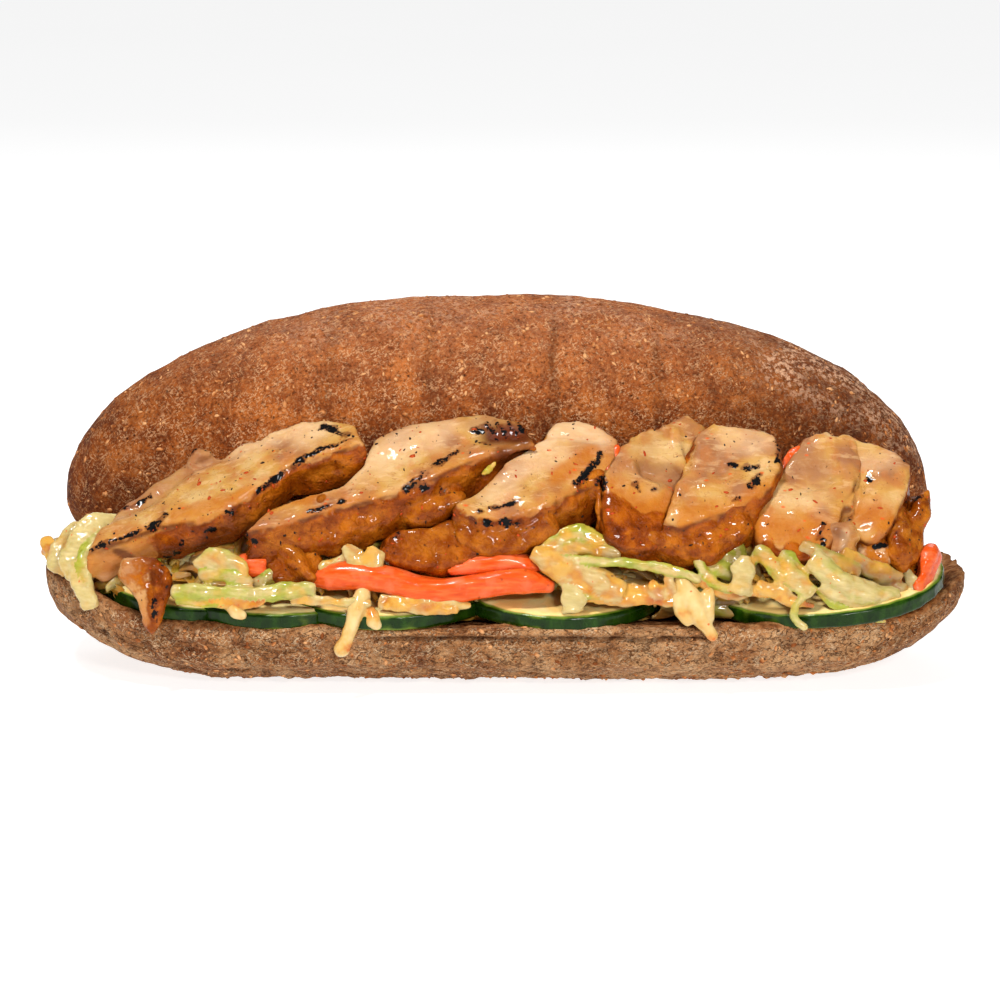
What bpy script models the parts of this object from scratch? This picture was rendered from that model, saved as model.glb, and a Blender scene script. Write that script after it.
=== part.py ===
"""Banh mi: a soft brown torpedo roll, split along one side and hinged at the back, filled with
cucumber slices, shredded cabbage, carrot strips and a row of grilled chicken slices.

The roll lies along X on its flat base, the open side faces -Y and the hinge is at the back.
The origin is under the middle of the whole, on the surface it rests on. Sizes are in millimetres
up to the last step, where each mesh is scaled to metres.
"""

import math

import bmesh
import bpy
from mathutils import Euler, Vector

MM = 0.001
GAP = 0.35  # clearance between pieces that touch

# Lower half of the roll: a shallow boat with a flat underside.
BASE_LENGTH = 200.0
BASE_MIDDLE_X = 1.0
BASE_FRONT = 35.0
BASE_BACK = 36.0
BASE_PLAN_POWER = 3.1
RIM_HEIGHT = 16.6
RIM_RISE_LEFT = 8.5
RIM_RISE_RIGHT = 5.5
BACK_RISE = 16.0
TIP_HEIGHT = 20.5
FLAT_HALF_LENGTH = 57.0
FOOT_FRONT = 0.3  # share of the half width that the flat underside takes
FOOT_BACK = 0.5

# Upper half of the roll: a rounded dome that stands up behind the filling.
LID_LENGTH = 190.0
LID_MIDDLE_X = -0.4
LID_MIDDLE_Y = 13.5
LID_HALF_DEPTH = 25.5
LID_TOP = 79.3
LID_TIP_HEIGHT = 34.0
LID_HALF_HEIGHT = 33.0
LID_PROFILE_POWER = 2.06
LID_PLAN_POWER = 2.4
LIP_HEIGHT_ENDS = 28.0
LIP_ARCH = 9.0  # how much higher the lip is over the middle of the filling
THROAT_Y = 29.0  # depth of the slit; behind it the two halves are one
THROAT_HEIGHT = 21.0

# Filling
CUCUMBER_THICKNESS = 4.8
CUCUMBER_SIDES = 26
BED_FRONT = 27.5
BED_TOP = 34.0
BED_LEFT = -100.6
BED_RIGHT = 92.0
BED_GAP = 0.9  # to the crumb above and below
BED_CLEARANCE = 0.6  # to the pieces pressed into it
BED_END_HALF_DEPTH = 7.0
BED_END_FLOOR = 24.0
BED_END_TOP = 32.0

COLOURS = {
    "crust": ((0.36, 0.13, 0.045, 1.0), 0.85),
    "cooked_meat": ((0.70, 0.42, 0.20, 1.0), 0.45),
    "grilled_skin": ((0.30, 0.07, 0.015, 1.0), 0.35),
    "cucumber": ((0.05, 0.11, 0.01, 1.0), 0.3),
    "carrot": ((0.85, 0.16, 0.04, 1.0), 0.35),
    "cabbage": ((0.68, 0.60, 0.26, 1.0), 0.4),
}


def clear_scene():
    for obj in list(bpy.data.objects):
        bpy.data.objects.remove(obj, do_unlink=True)


def material(kind):
    """One Principled material for a piece, in the colour of its kind."""
    made = bpy.data.materials.new(kind)
    made.use_nodes = True
    colour, roughness = COLOURS[kind]
    shader = made.node_tree.nodes["Principled BSDF"]
    shader.inputs["Base Color"].default_value = colour
    shader.inputs["Roughness"].default_value = roughness
    shader.inputs["Metallic"].default_value = 0.0
    made.diffuse_color = colour
    return made


# ---------------------------------------------------------------- curves and rings


def smoothstep(x):
    x = min(max(x, 0.0), 1.0)
    return x * x * (3.0 - 2.0 * x)


def superellipse(x, power):
    """Half width of a unit superellipse at x."""
    return max(1.0 - min(abs(x), 1.0) ** power, 0.0) ** (1.0 / power)


def catmull_rom(a, b, c, d, t):
    return 0.5 * (
        2.0 * b
        + (c - a) * t
        + (2.0 * a - 5.0 * b + 4.0 * c - d) * t * t
        + (3.0 * b - a - 3.0 * c + d) * t**3
    )


def resample(points, count, closed):
    """Points at equal steps along a polyline."""
    run = points + [points[0]] if closed else points
    lengths = [(q - p).length for p, q in zip(run, run[1:])]
    steps = count if closed else count - 1
    step = sum(lengths) / steps
    found = []
    index = 0
    passed = 0.0
    for i in range(count):
        target = min(i * step, sum(lengths) - 1e-6)
        while passed + lengths[index] < target:
            passed += lengths[index]
            index += 1
        found.append(run[index].lerp(run[index + 1], (target - passed) / lengths[index]))
    return found


def smooth_curve(points, count, closed):
    """A smooth curve through the points, read at equal steps."""
    points = [Vector(p) for p in points]
    size = len(points)
    spans = size if closed else size - 1
    dense = []
    for i in range(spans):
        if closed:
            a, b, c, d = (points[(i + k) % size] for k in (-1, 0, 1, 2))
        else:
            a, b, c, d = (points[min(max(i + k, 0), size - 1)] for k in (-1, 0, 1, 2))
        dense += [catmull_rom(a, b, c, d, k / 8.0) for k in range(8)]
    if not closed:
        dense.append(points[-1])
    return resample(dense, count, closed)


def stations(count):
    """Places from -1 to 1 along a rounded shape, closer together at its ends."""
    return [math.sin(math.pi / 2 * (2.0 * i / (count - 1) - 1.0)) for i in range(count)]


def loft(name, rings, kind):
    """A closed body through rings of equal size, with a flat cap at each end."""
    mesh = bmesh.new()
    rows = [[mesh.verts.new(point) for point in ring] for ring in rings]
    size = len(rows[0])
    for low, high in zip(rows, rows[1:]):
        for i in range(size):
            j = (i + 1) % size
            mesh.faces.new((low[i], low[j], high[j], high[i]))
    caps = [mesh.faces.new(rows[0]), mesh.faces.new(rows[-1])]
    bmesh.ops.triangulate(mesh, faces=caps)
    bmesh.ops.recalc_face_normals(mesh, faces=mesh.faces)
    if mesh.calc_volume(signed=True) < 0.0:
        bmesh.ops.reverse_faces(mesh, faces=mesh.faces)
    data = bpy.data.meshes.new(name)
    mesh.to_mesh(data)
    mesh.free()
    obj = bpy.data.objects.new(name, data)
    bpy.context.scene.collection.objects.link(obj)
    data.materials.append(material(kind))
    return obj


# ---------------------------------------------------------------- cutting and joining


def as_cutter(obj):
    obj.hide_render = True
    obj.display_type = "WIRE"
    return obj


def swollen(obj, amount):
    """A copy of a piece grown by a clearance, to cut its neighbours with."""
    copy = obj.copy()
    copy.data = obj.data.copy()
    copy.name = obj.name + "_clearance"
    bpy.context.scene.collection.objects.link(copy)
    grown = [v.co + v.normal * amount for v in copy.data.vertices]
    for vertex, place in zip(copy.data.vertices, grown):
        vertex.co = place
    return as_cutter(copy)


def boolean(obj, other, operation, crossing=False):
    """Adds a Boolean. A shape whose own faces may cross, such as a swollen one, needs crossing."""
    change = obj.modifiers.new(other.name, "BOOLEAN")
    change.operation = operation
    change.solver = "EXACT"
    change.use_self = crossing
    change.object = other


def largest_body(mesh):
    """Deletes all but the largest connected body of a bmesh."""
    left = set(mesh.verts)
    bodies = []
    while left:
        body = set()
        front = [next(iter(left))]
        while front:
            vertex = front.pop()
            if vertex in body:
                continue
            body.add(vertex)
            front += [edge.other_vert(vertex) for edge in vertex.link_edges]
        left -= body
        low = Vector([min(v.co[k] for v in body) for k in range(3)])
        high = Vector([max(v.co[k] for v in body) for k in range(3)])
        bodies.append(((high - low).length, len(bodies), body))
    keep = max(bodies)[2]
    bmesh.ops.delete(mesh, geom=[v for v in mesh.verts if v not in keep], context="VERTS")


def settle(obj):
    """Applies a piece's Booleans and drops loose chips."""
    bpy.context.view_layer.update()
    graph = bpy.context.evaluated_depsgraph_get()
    solid = bpy.data.meshes.new_from_object(obj.evaluated_get(graph))
    cutters = [m.object for m in obj.modifiers]
    obj.modifiers.clear()
    mesh = bmesh.new()
    mesh.from_mesh(solid)
    bmesh.ops.triangulate(mesh, faces=mesh.faces)
    largest_body(mesh)
    mesh.to_mesh(obj.data)
    mesh.free()
    bpy.data.meshes.remove(solid)
    for cutter in cutters:
        bpy.data.objects.remove(cutter, do_unlink=True)


def reach(obj, axis):
    return [vertex.co[axis] for vertex in obj.data.vertices]


def near(first, second):
    """Whether the boxes round two pieces meet."""
    for axis in range(3):
        a = reach(first, axis)
        b = reach(second, axis)
        if min(a) > max(b) + GAP or min(b) > max(a) + GAP:
            return False
    return True


def make_room(obj, neighbours, gap=GAP):
    """Cuts a piece back from each neighbour that it touches, leaving the clearance."""
    for other in neighbours:
        if near(obj, other):
            boolean(obj, swollen(other, gap), "DIFFERENCE", crossing=True)
    settle(obj)


# ---------------------------------------------------------------- the roll


def base_share(x):
    return (x - BASE_MIDDLE_X) / (BASE_LENGTH / 2)


def base_width(x):
    return superellipse(base_share(x), BASE_PLAN_POWER)


def base_underside(x):
    """Height of the underside: flat, then rising to the tip as a quarter of an ellipse."""
    past = (abs(x - BASE_MIDDLE_X) - FLAT_HALF_LENGTH) / (BASE_LENGTH / 2 - FLAT_HALF_LENGTH)
    return TIP_HEIGHT * (1.0 - superellipse(max(past, 0.0), 2.0))


def rim_height(x):
    share = base_share(x)
    if share < 0.0:
        rise = RIM_RISE_LEFT * smoothstep((-share - 0.74) / 0.22)
    else:
        rise = RIM_RISE_RIGHT * smoothstep((share - 0.86) / 0.12)
    closing = superellipse(share, 9.0)
    return TIP_HEIGHT + (RIM_HEIGHT + rise - TIP_HEIGHT) * closing


def base_top(x, y):
    """Height of the cut crumb face of the lower half."""
    depth = BASE_FRONT if y < 0.0 else BASE_BACK
    across = min(max(y / max(depth * base_width(x), 0.001), -1.0), 1.0)
    low = base_underside(x)
    height = low + (rim_height(x) - low) * (0.78 + 0.22 * abs(across) ** 3)
    return height + BACK_RISE * base_width(x) ** 4 * max(across, 0.0) ** 4


def base_ring(x):
    """One section of the lower half, from the front of the foot round to the top face."""
    width = base_width(x)
    low = base_underside(x)
    ring = []
    for side, depth, foot in ((-1, BASE_FRONT, FOOT_FRONT), (1, BASE_BACK, FOOT_BACK)):
        edge = side * depth * width
        top = base_top(x, edge)
        shoulder = low + (top - low) * 0.8
        sides = []
        for angle in (0, 30, 60, 90):
            turn = math.radians(angle)
            y = edge * (foot + (1.0 - foot) * math.sin(turn))
            sides.append(Vector((x, y, shoulder - (shoulder - low) * math.cos(turn))))
        sides.append(Vector((x, edge * 0.985, top - (top - shoulder) * 0.35)))
        sides.append(Vector((x, edge * 0.93, base_top(x, edge * 0.93))))
        ring.append(sides)
    across = (-0.72, -0.4, 0.0, 0.45, 0.75)
    face = [
        Vector((x, share * width * BASE_FRONT, base_top(x, share * width * BASE_FRONT)))
        for share in across
    ]
    return ring[0] + face + ring[1][::-1]


def lip_height(x):
    return LIP_HEIGHT_ENDS + LIP_ARCH * max(1.0 - (x / 88.0) ** 2, 0.0)


def lid_underside(x, y):
    """Height of the cut crumb face of the upper half, from its lip back to the throat."""
    lip = LID_MIDDLE_Y - LID_HALF_DEPTH
    back = min(max((y - lip) / (THROAT_Y - lip), 0.0), 1.0)
    throat = max(THROAT_HEIGHT, rim_height(x) + 2.0)
    return lip_height(x) + (throat - lip_height(x)) * back**1.6


def lid_ring(share, sides):
    x = LID_MIDDLE_X + share * LID_LENGTH / 2
    height = superellipse(share, LID_PROFILE_POWER)
    depth = LID_HALF_DEPTH * superellipse(share, LID_PLAN_POWER)
    middle = LID_TIP_HEIGHT + (LID_TOP - LID_HALF_HEIGHT - LID_TIP_HEIGHT) * height
    ring = []
    for i in range(sides):
        angle = 2 * math.pi * i / sides
        y = LID_MIDDLE_Y - depth * math.cos(angle)
        ring.append(Vector((x, y, middle + LID_HALF_HEIGHT * height * math.sin(angle))))
    return ring


def slit_ring(x):
    """One section of the wedge that parts the lid from the base."""
    shares = (0.0, 0.25, 0.5, 0.75, 1.0)
    lip = LID_MIDDLE_Y - LID_HALF_DEPTH
    ring = [Vector((x, THROAT_Y, -20.0)), Vector((x, -60.0, -20.0)), Vector((x, -60.0, lip_height(x)))]
    for share in shares:
        y = lip + share * (THROAT_Y - lip)
        ring.append(Vector((x, y, lid_underside(x, y))))
    return ring


def make_bun():
    """The roll: dome and boat, joined along the hinge at the back."""
    spread = [0.9995 * share for share in stations(26)]
    base = loft("base", [base_ring(BASE_MIDDLE_X + BASE_LENGTH / 2 * s) for s in spread], "crust")
    lid = loft("bun", [lid_ring(s, 20) for s in spread], "crust")
    slit = loft("slit", [slit_ring(-110.0 + 10.0 * i) for i in range(23)], "crust")
    boolean(lid, as_cutter(slit), "DIFFERENCE")
    boolean(lid, as_cutter(base), "UNION")
    settle(lid)
    return lid


# ---------------------------------------------------------------- slices and strips


def slab(name, kind, place, turn, outline, thick, drop, sides=18):
    """A slice with rounded edges. Its cut face is up before it is turned by (lean, rise, yaw) degrees.

    Its flank runs square to the face with a drop of 0, and straight down with a drop of 1.
    """
    loop = smooth_curve([(x, y, 0.0) for x, y in outline], sides, closed=True)
    middle = sum(loop, Vector()) / len(loop)
    half_x = max(abs(p.x - middle.x) for p in loop)
    half_y = max(abs(p.y - middle.y) for p in loop)
    levels = ((2.4, -0.3), (0.6, 0.0), (-0.1, 1.2), (-0.3, 0.6 * thick), (2.6, thick))
    lean, rise, yaw = turn
    turned = Euler((math.radians(lean), math.radians(-rise), math.radians(yaw)), "XYZ").to_matrix()
    square = -(turned @ Vector((0.0, 0.0, 1.0)))
    down = square.lerp(Vector((0.0, 0.0, -1.0)), drop).normalized()
    rings = []
    for inset, depth in levels:
        scale_x = 1.0 - min(inset / half_x, 0.6)
        scale_y = 1.0 - min(inset / half_y, 0.6)
        ring = []
        for point in loop:
            x = middle.x + (point.x - middle.x) * scale_x
            y = middle.y + (point.y - middle.y) * scale_y
            ring.append(Vector(place) + turned @ Vector((x, y, 0.0)) + down * depth)
        rings.append(ring)
    return loft(name, rings, kind)


def strip(name, kind, path, width, height, roll=0.0, count=10, sides=8):
    """A cut strip: a rounded oblong swept along a smooth path, narrower at both ends."""
    points = smooth_curve(path, count, closed=False)
    rings = []
    for i, point in enumerate(points):
        ahead = points[min(i + 1, count - 1)] - points[max(i - 1, 0)]
        along = ahead.normalized()
        side = along.cross(Vector((0, 0, 1))).normalized()
        over = side.cross(along)
        ends = 0.35 + 0.65 * superellipse(2.0 * i / (count - 1) - 1.0, 5.0)
        angle = math.radians(roll)
        across = side * math.cos(angle) + over * math.sin(angle)
        above = over * math.cos(angle) - side * math.sin(angle)
        ring = []
        for k in range(sides):
            turn = 2 * math.pi * (k + 0.5) / sides
            u = math.copysign(abs(math.cos(turn)) ** 0.6, math.cos(turn)) * width / 2 * ends
            v = math.copysign(abs(math.sin(turn)) ** 0.6, math.sin(turn)) * height / 2 * ends
            ring.append(point + across * u + above * v)
        rings.append(ring)
    return loft(name, rings, kind)


CHICKEN_SLICES = (
    # place of the cut face, (lean, rise, yaw), thickness, drop, outline of the cut face
    ((-58, -18, 44), (27, 21, 6), 9.0, 0.6,
     ((-33, -5), (-24, -5), (-14, -6), (-4, -10), (7, -6), (16, -3), (30, -5), (31, 1),
      (22, 9), (16, 11), (8, 11), (1, 9), (-6, 12), (-12, 9), (-23, 6), (-31, -2))),
    ((-23, -22, 47.6), (36, 17, 12), 11.0, 0.7,
     ((-34, -3), (-22, -5), (-14, -5), (0, -7), (8, -6), (18, -5), (30, -7), (31, -1),
      (25, 5), (17, 8), (11, 9), (4, 11), (-3, 8), (-6, 2), (-14, -1), (-24, 2))),
    ((9, -22, 48.6), (40, 25, 26), 13.0, 0.7,
     ((-21, 3), (-18, -4), (-10, -8), (8, -10), (15, -7), (17, -2), (13, 5), (10, 7),
      (6, 6), (1, 5), (-4, 6), (-14, 3))),
    ((32, -22, 45.6), (55, 0, 8), 9.5, 0.4,
     ((-11, -13), (-8, -16), (0, -16), (8, -10), (12, 2), (13, 10), (10, 15), (5, 13),
      (1, 12), (-5, 8), (-10, 4), (-11, -2))),
    ((47, -23, 46.4), (50, 10, 8), 13.0, 0.7,
     ((-15, -8), (-13, -10), (-6, -9), (1, -8), (10, -4), (13, 1), (14, 7), (7, 10),
      (2, 13), (-3, 11), (-9, 2))),
    ((64, -22, 42.6), (55, 0, -4), 10.0, 0.2,
     ((-10, -8), (-9, -13), (-4, -16), (2, -16), (7, -10), (9, 0), (8, 12), (4, 14),
      (0, 13), (-4, 6), (-9, -2))),
    ((79, -18, 42.6), (58, -8, -8), 10.0, 0.3,
     ((-8, -6), (-3, -11), (1, -12), (5, -8), (7, 1), (7, 6), (4, 9), (0, 11), (-5, 11),
      (-9, 10), (-9, 0))),
)

CHICKEN_SCRAPS = (
    # name, kind, place, (lean, rise, yaw), thickness, drop, outline
    ("chicken_flap", "grilled_skin", (-74, -33, 24), (78, 0, -8), 3.2, 0.0,
     ((-5, 6), (-6, 2), (-3, -2), (-1, -8), (2, -9), (4, -5), (5, 2), (4, 5), (0, 7))),
    ("chicken_scrap", "grilled_skin", (-43, -29.5, 28.6), (62, 0, 6), 5.0, 0.0,
     ((-6, 0), (-4, -4), (2, -4), (6, -2), (5, 3), (0, 5), (-4, 4))),
    ("chicken_lobe", "grilled_skin", (-14.5, -30, 33), (62, 6, 4), 7.0, 0.2,
     ((-12, -1), (-6, -4), (2, -5), (10, -4), (12, 1), (8, 5), (0, 4), (-8, 4))),
    ("chicken_knob", "cooked_meat", (71, -28.5, 33), (68, 0, 0), 5.0, 0.0,
     ((-4, 0), (-2, -4), (2, -4), (4, 0), (3, 4), (-1, 5), (-3, 3))),
    ("chicken_chunk", "cooked_meat", (79, -26, 30), (66, 6, 6), 5.5, 0.2,
     ((-4, -2), (-1, -4), (3, -3), (4, 1), (2, 4), (-2, 4), (-4, 2))),
    ("chicken_skin", "grilled_skin", (87.5, -19.5, 31.5), (66, 0, 14), 4.0, 0.0,
     ((-4, -6), (0, -9), (3, -4), (2, 3), (6, 10), (1, 9), (-4, 7), (-3, 0))),
)

CUCUMBERS = (
    # middle of the lower face, radius, (lean, rise)
    ((-64.5, -6.5, 18.3), 22.0, (3, -4)),
    ((-47.0, -9.5, 16.9), 23.0, (0, 0)),
    ((-24.2, -10.4, 17.0), 24.0, (0, 0)),
    ((14.8, -12.2, 17.2), 22.0, (1, -1)),
    ((69.3, -8.0, 17.3), 24.6, (2, 5)),
)

CARROTS = (
    # name, path, width, height, roll
    ("carrot_strip_long", ((-41, -29, 25.5), (-28, -31, 25.4), (-14, -32, 24.2), (-2, -31.5, 24.6),
                           (11, -31, 24.0)), 4.6, 5.0, 0.0),
    ("carrot_strip_upper", ((-23, -28, 28.4), (-12, -29.5, 29.0), (-2, -30, 28.4), (9, -29, 27.4)),
     4.4, 3.4, 12.0),
    ("carrot_chunk", ((-55, -27.5, 27.8), (-52, -28.4, 28.2), (-48.6, -28.4, 28.0)), 4.0, 4.4, 0.0),
    ("carrot_wedge", ((89, -21.5, 17.5), (89.6, -20.5, 22), (91.5, -18.5, 27), (92.5, -16, 30.6)),
     3.0, 5.4, 0.0),
)


def make_chicken(bun):
    """The row of slices. Each lies over the one on its left, so the left one is cut back."""
    made = []
    for number, shape in reversed(list(enumerate(CHICKEN_SLICES, 1))):
        place, turn, thick, drop, outline = shape
        piece = slab(f"chicken_slice_{number}", "cooked_meat", place, turn, outline, thick, drop)
        make_room(piece, [bun] + made)
        made.append(piece)
    for name, kind, place, turn, thick, drop, outline in CHICKEN_SCRAPS:
        piece = slab(name, kind, place, turn, outline, thick, drop, sides=12)
        make_room(piece, [bun] + made)
        made.append(piece)
    return made


def make_cucumbers(bun, above):
    """Thick round slices, laid flat along the front. Each is cut back from the one on its right."""
    made = []
    for number, (place, radius, turn) in reversed(list(enumerate(CUCUMBERS, 1))):
        levels = ((1.2, 0.0), (0.0, 0.8), (0.0, CUCUMBER_THICKNESS - 0.8), (1.4, CUCUMBER_THICKNESS))
        turned = Euler((math.radians(turn[0]), math.radians(-turn[1]), 0.0), "XYZ").to_matrix()
        rings = []
        for inset, height in levels:
            ring = []
            for k in range(CUCUMBER_SIDES):
                angle = 2 * math.pi * k / CUCUMBER_SIDES
                reach_out = (radius - inset) * (1.0 + 0.012 * math.sin(3 * angle + number))
                flat = Vector((reach_out * math.cos(angle), reach_out * math.sin(angle), height))
                ring.append(Vector(place) + turned @ flat)
            rings.append(ring)
        piece = loft(f"cucumber_slice_{number}", rings, "cucumber")
        make_room(piece, [bun] + above + made)
        made.append(piece)
    return made


def make_carrots(others):
    made = []
    for name, path, width, height, roll in CARROTS:
        piece = strip(name, "carrot", path, width, height, roll)
        make_room(piece, others + made)
        made.append(piece)
    return made


def bed_ring(share):
    """One section of the cabbage: it fills the slit and heaps up in front of the lip."""
    x = BED_LEFT + (BED_RIGHT - BED_LEFT) * (share + 1.0) / 2.0
    width = base_width(x)
    closing = superellipse(share, 6.0)
    front = -(BED_END_HALF_DEPTH + (BED_FRONT - BED_END_HALF_DEPTH) * width) * closing
    back = (BED_END_HALF_DEPTH + (THROAT_Y - 3.0 - BED_END_HALF_DEPTH) * width) * closing
    front += 1.2 * math.sin(0.33 * x) * width
    lip = LID_MIDDLE_Y - LID_HALF_DEPTH
    heap = BED_END_TOP + (BED_TOP - BED_END_TOP + math.sin(0.21 * x + 1.0)) * width
    lower = []
    upper = []
    for i in range(8):
        y = front + (back - front) * i / 7
        low = max(base_top(x, y), BED_END_FLOOR * (1.0 - width)) + BED_GAP
        high = heap if y < lip else lid_underside(x, y) - BED_GAP
        rounding = 0.35 + 0.65 * superellipse(1.0 - min(i / 2.4, 1.0), 2.0)
        high = low + max(high - low, 0.8) * rounding
        middle = (low + high) / 2.0
        lower.append(Vector((x, y, middle + (low - middle) * closing)))
        upper.append(Vector((x, y, middle + (high - middle) * closing)))
    return lower + upper[::-1]


def make_cabbage(others):
    bed = loft("cabbage_bed", [bed_ring(0.999 * share) for share in stations(24)], "cabbage")
    make_room(bed, others, BED_CLEARANCE)
    return bed


def finish(pieces):
    """Sets the origin under the middle of the whole, scales each piece to metres and shades it."""
    low = [min(min(reach(obj, axis)) for obj in pieces) for axis in range(3)]
    high = [max(max(reach(obj, axis)) for obj in pieces) for axis in range(3)]
    origin = Vector(((low[0] + high[0]) / 2, (low[1] + high[1]) / 2, low[2]))
    for obj in pieces:
        for vertex in obj.data.vertices:
            vertex.co = (vertex.co - origin) * MM
        obj.data.shade_smooth()
        obj.data.set_sharp_from_angle(angle=math.radians(40))


def main():
    clear_scene()
    bun = make_bun()
    chicken = make_chicken(bun)
    cucumbers = make_cucumbers(bun, chicken)
    carrots = make_carrots([bun] + chicken + cucumbers)
    cabbage = make_cabbage([bun] + chicken + cucumbers + carrots)
    finish([bun, cabbage] + chicken + cucumbers + carrots)


main()
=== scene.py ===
"""A banh mi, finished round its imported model.

A soft wholemeal roll is slit along one side. Slices of grilled chicken thigh lie in a row on
shredded cabbage, with carrot strips, cucumber slices and a creamy chilli sauce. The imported
model gives each piece its place. This script gives it its baked, grilled or cut surface, and
adds what is too small for the model: shreds, sauce, char, bran and crumbs.
Lengths are in millimetres until a mesh is written, in the model's own frame.
"""

import math
import random

import bpy
import numpy as np
from mathutils import Euler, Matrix, Vector, kdtree, noise


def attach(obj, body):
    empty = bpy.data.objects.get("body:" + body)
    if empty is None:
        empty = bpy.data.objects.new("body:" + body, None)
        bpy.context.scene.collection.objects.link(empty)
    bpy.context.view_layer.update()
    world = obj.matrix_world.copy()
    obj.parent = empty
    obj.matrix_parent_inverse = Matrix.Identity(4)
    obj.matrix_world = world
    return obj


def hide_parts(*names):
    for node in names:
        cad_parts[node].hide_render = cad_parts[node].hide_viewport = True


MM = 0.001

# Camera and studio. The camera looks a little down on the open side of the roll.
LOOK_AT = (-0.2, -2.0, 36.0)
CAMERA_DISTANCE = 750.0
CAMERA_ELEVATION = 12.0
LENS = 124.06
FLOOR_HALF = 9000.0
WORLD_LIGHT = 0.2
# Lamps: name, place, width and height, power in watts.
LAMPS = (
    ("key_softbox", (-240, -420, 860), (160, 110), 7.4),
    ("front_softbox", (260, -900, 420), (180, 110), 4.8),
    ("back_softbox", (0, 700, 600), (900, 300), 2.6),
)

# How finely each kind of piece is remade, as the side of a voxel.
ROLL_GRAIN = 0.881
MEAT_GRAIN = 0.42
CUCUMBER_GRAIN = 0.5
CARROT_GRAIN = 0.36
BED_GRAIN = 0.9
LEAF_GRAIN = 0.37
SAUCE_GRAIN = 0.34
# Balls in a chain stand this share of the smaller radius apart.
BALL_SPACING = 0.45

# Strewn grains: how many, length, thickness and depth as shares of the length, seed.
STREWN = {
    "bran_on_lid": (3000, 0.8, 0.22, 0.02, 81),
    "bran_on_base": (1400, 0.75, 0.25, 0.02, 82),
    "crumbs": (500, 0.8, 0.7, 0.1, 83),
    "pepper_grains": (420, 0.42, 0.5, 0.0, 84),
    "chilli_flakes": (300, 0.62, 0.3, 0.02, 85),
}

# The cut plane of each piece of chicken: place, then lean, rise and yaw in degrees.
CUTS = {
    "chicken_slice_1": ((-58.2, -20.0, 44.0), (27, 21, 6)),
    "chicken_slice_2": ((-23.2, -24.0, 47.6), (36, 17, 12)),
    "chicken_slice_3": ((8.8, -24.0, 48.6), (40, 25, 26)),
    "chicken_slice_4": ((31.8, -24.0, 45.6), (55, 0, 8)),
    "chicken_slice_5": ((46.8, -25.0, 46.4), (50, 10, 8)),
    "chicken_slice_6": ((63.8, -24.0, 42.6), (55, 0, -4)),
    "chicken_slice_7": ((78.8, -20.0, 42.6), (58, -8, -8)),
    "chicken_flap": ((-74.2, -35.0, 24.0), (78, 0, -8)),
    "chicken_scrap": ((-43.2, -31.5, 28.6), (62, 0, 6)),
    "chicken_lobe": ((-14.7, -32.0, 33.0), (62, 6, 4)),
    "chicken_knob": ((70.8, -30.5, 33.0), (68, 0, 0)),
    "chicken_chunk": ((78.8, -28.0, 30.0), (66, 6, 6)),
    "chicken_skin": ((87.3, -21.5, 31.5), (66, 0, 14)),
}


# ---------------------------------------------------------------- shaping


def only(piece):
    """Selects one piece and nothing else, so that an operator acts on it alone."""
    bpy.ops.object.select_all(action="DESELECT")
    piece.select_set(True)
    bpy.context.view_layer.objects.active = piece


def apply_modifier(piece, kind, **settings):
    """Adds one modifier to a piece and applies it."""
    only(piece)
    step = piece.modifiers.new(kind.lower(), kind)
    for key, value in settings.items():
        setattr(step, key, value)
    bpy.ops.object.modifier_apply(modifier=step.name)


def edit_all(piece, operator, **settings):
    """Runs one edit-mode operator on the whole of a piece."""
    only(piece)
    bpy.ops.object.mode_set(mode="EDIT")
    bpy.ops.mesh.select_all(action="SELECT")
    operator(**settings)
    bpy.ops.object.mode_set(mode="OBJECT")


def add_object(name, data):
    """A new object in the scene, at the origin."""
    holder = bpy.data.objects.new(name, data)
    bpy.context.scene.collection.objects.link(holder)
    return holder


def copy_of(node, name):
    """A copy of a model node's mesh with its loose triangles merged."""
    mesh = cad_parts[node].data.copy()
    mesh.materials.clear()
    piece = add_object(name, mesh)
    edit_all(piece, bpy.ops.mesh.remove_doubles, threshold=0.01 * MM)
    return piece


def join(name, parts):
    """Makes one object of several."""
    bpy.ops.object.select_all(action="DESELECT")
    for part in parts:
        part.select_set(True)
    bpy.context.view_layer.objects.active = parts[0]
    bpy.ops.object.join()
    parts[0].name = name
    return parts[0]


def remake(piece, voxel, smoothing):
    """Rebuilds a mesh out of even small faces and softens the steps between them."""
    apply_modifier(piece, "REMESH", mode="VOXEL", voxel_size=voxel * MM, use_smooth_shade=True)
    apply_modifier(piece, "SMOOTH", factor=0.5, iterations=smoothing)


def points_of(piece):
    """A piece's vertices in millimetres."""
    flat = np.empty(len(piece.data.vertices) * 3, np.float32)
    piece.data.vertices.foreach_get("co", flat)
    return flat.reshape(-1, 3).astype(float) / MM


def faces_of(piece):
    """Each face of a piece, as the numbers of its vertices."""
    return [tuple(face.vertices) for face in piece.data.polygons]


def set_points(piece, points):
    """Puts a piece's vertices where they are given, in millimetres."""
    piece.data.vertices.foreach_set("co", (points * MM).astype(np.float32).ravel())
    piece.data.update()


def normals_of(piece):
    """The direction that a piece faces at each of its vertices."""
    flat = np.empty(len(piece.data.vertices) * 3, np.float32)
    piece.data.vertex_normals.foreach_get("vector", flat)
    return flat.reshape(-1, 3).astype(float)


def paint(piece, name, values):
    """Stores one number per vertex, which the piece's material reads."""
    layer = piece.data.attributes.new(name, "FLOAT", "POINT")
    layer.data.foreach_set("value", np.asarray(values, np.float32))


def ease(low, high, x):
    """0 below low, 1 above high and a smooth step between; low may be the larger."""
    share = np.clip((x - low) / (high - low), 0, 1)
    return share * share * (3 - 2 * share)


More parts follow.
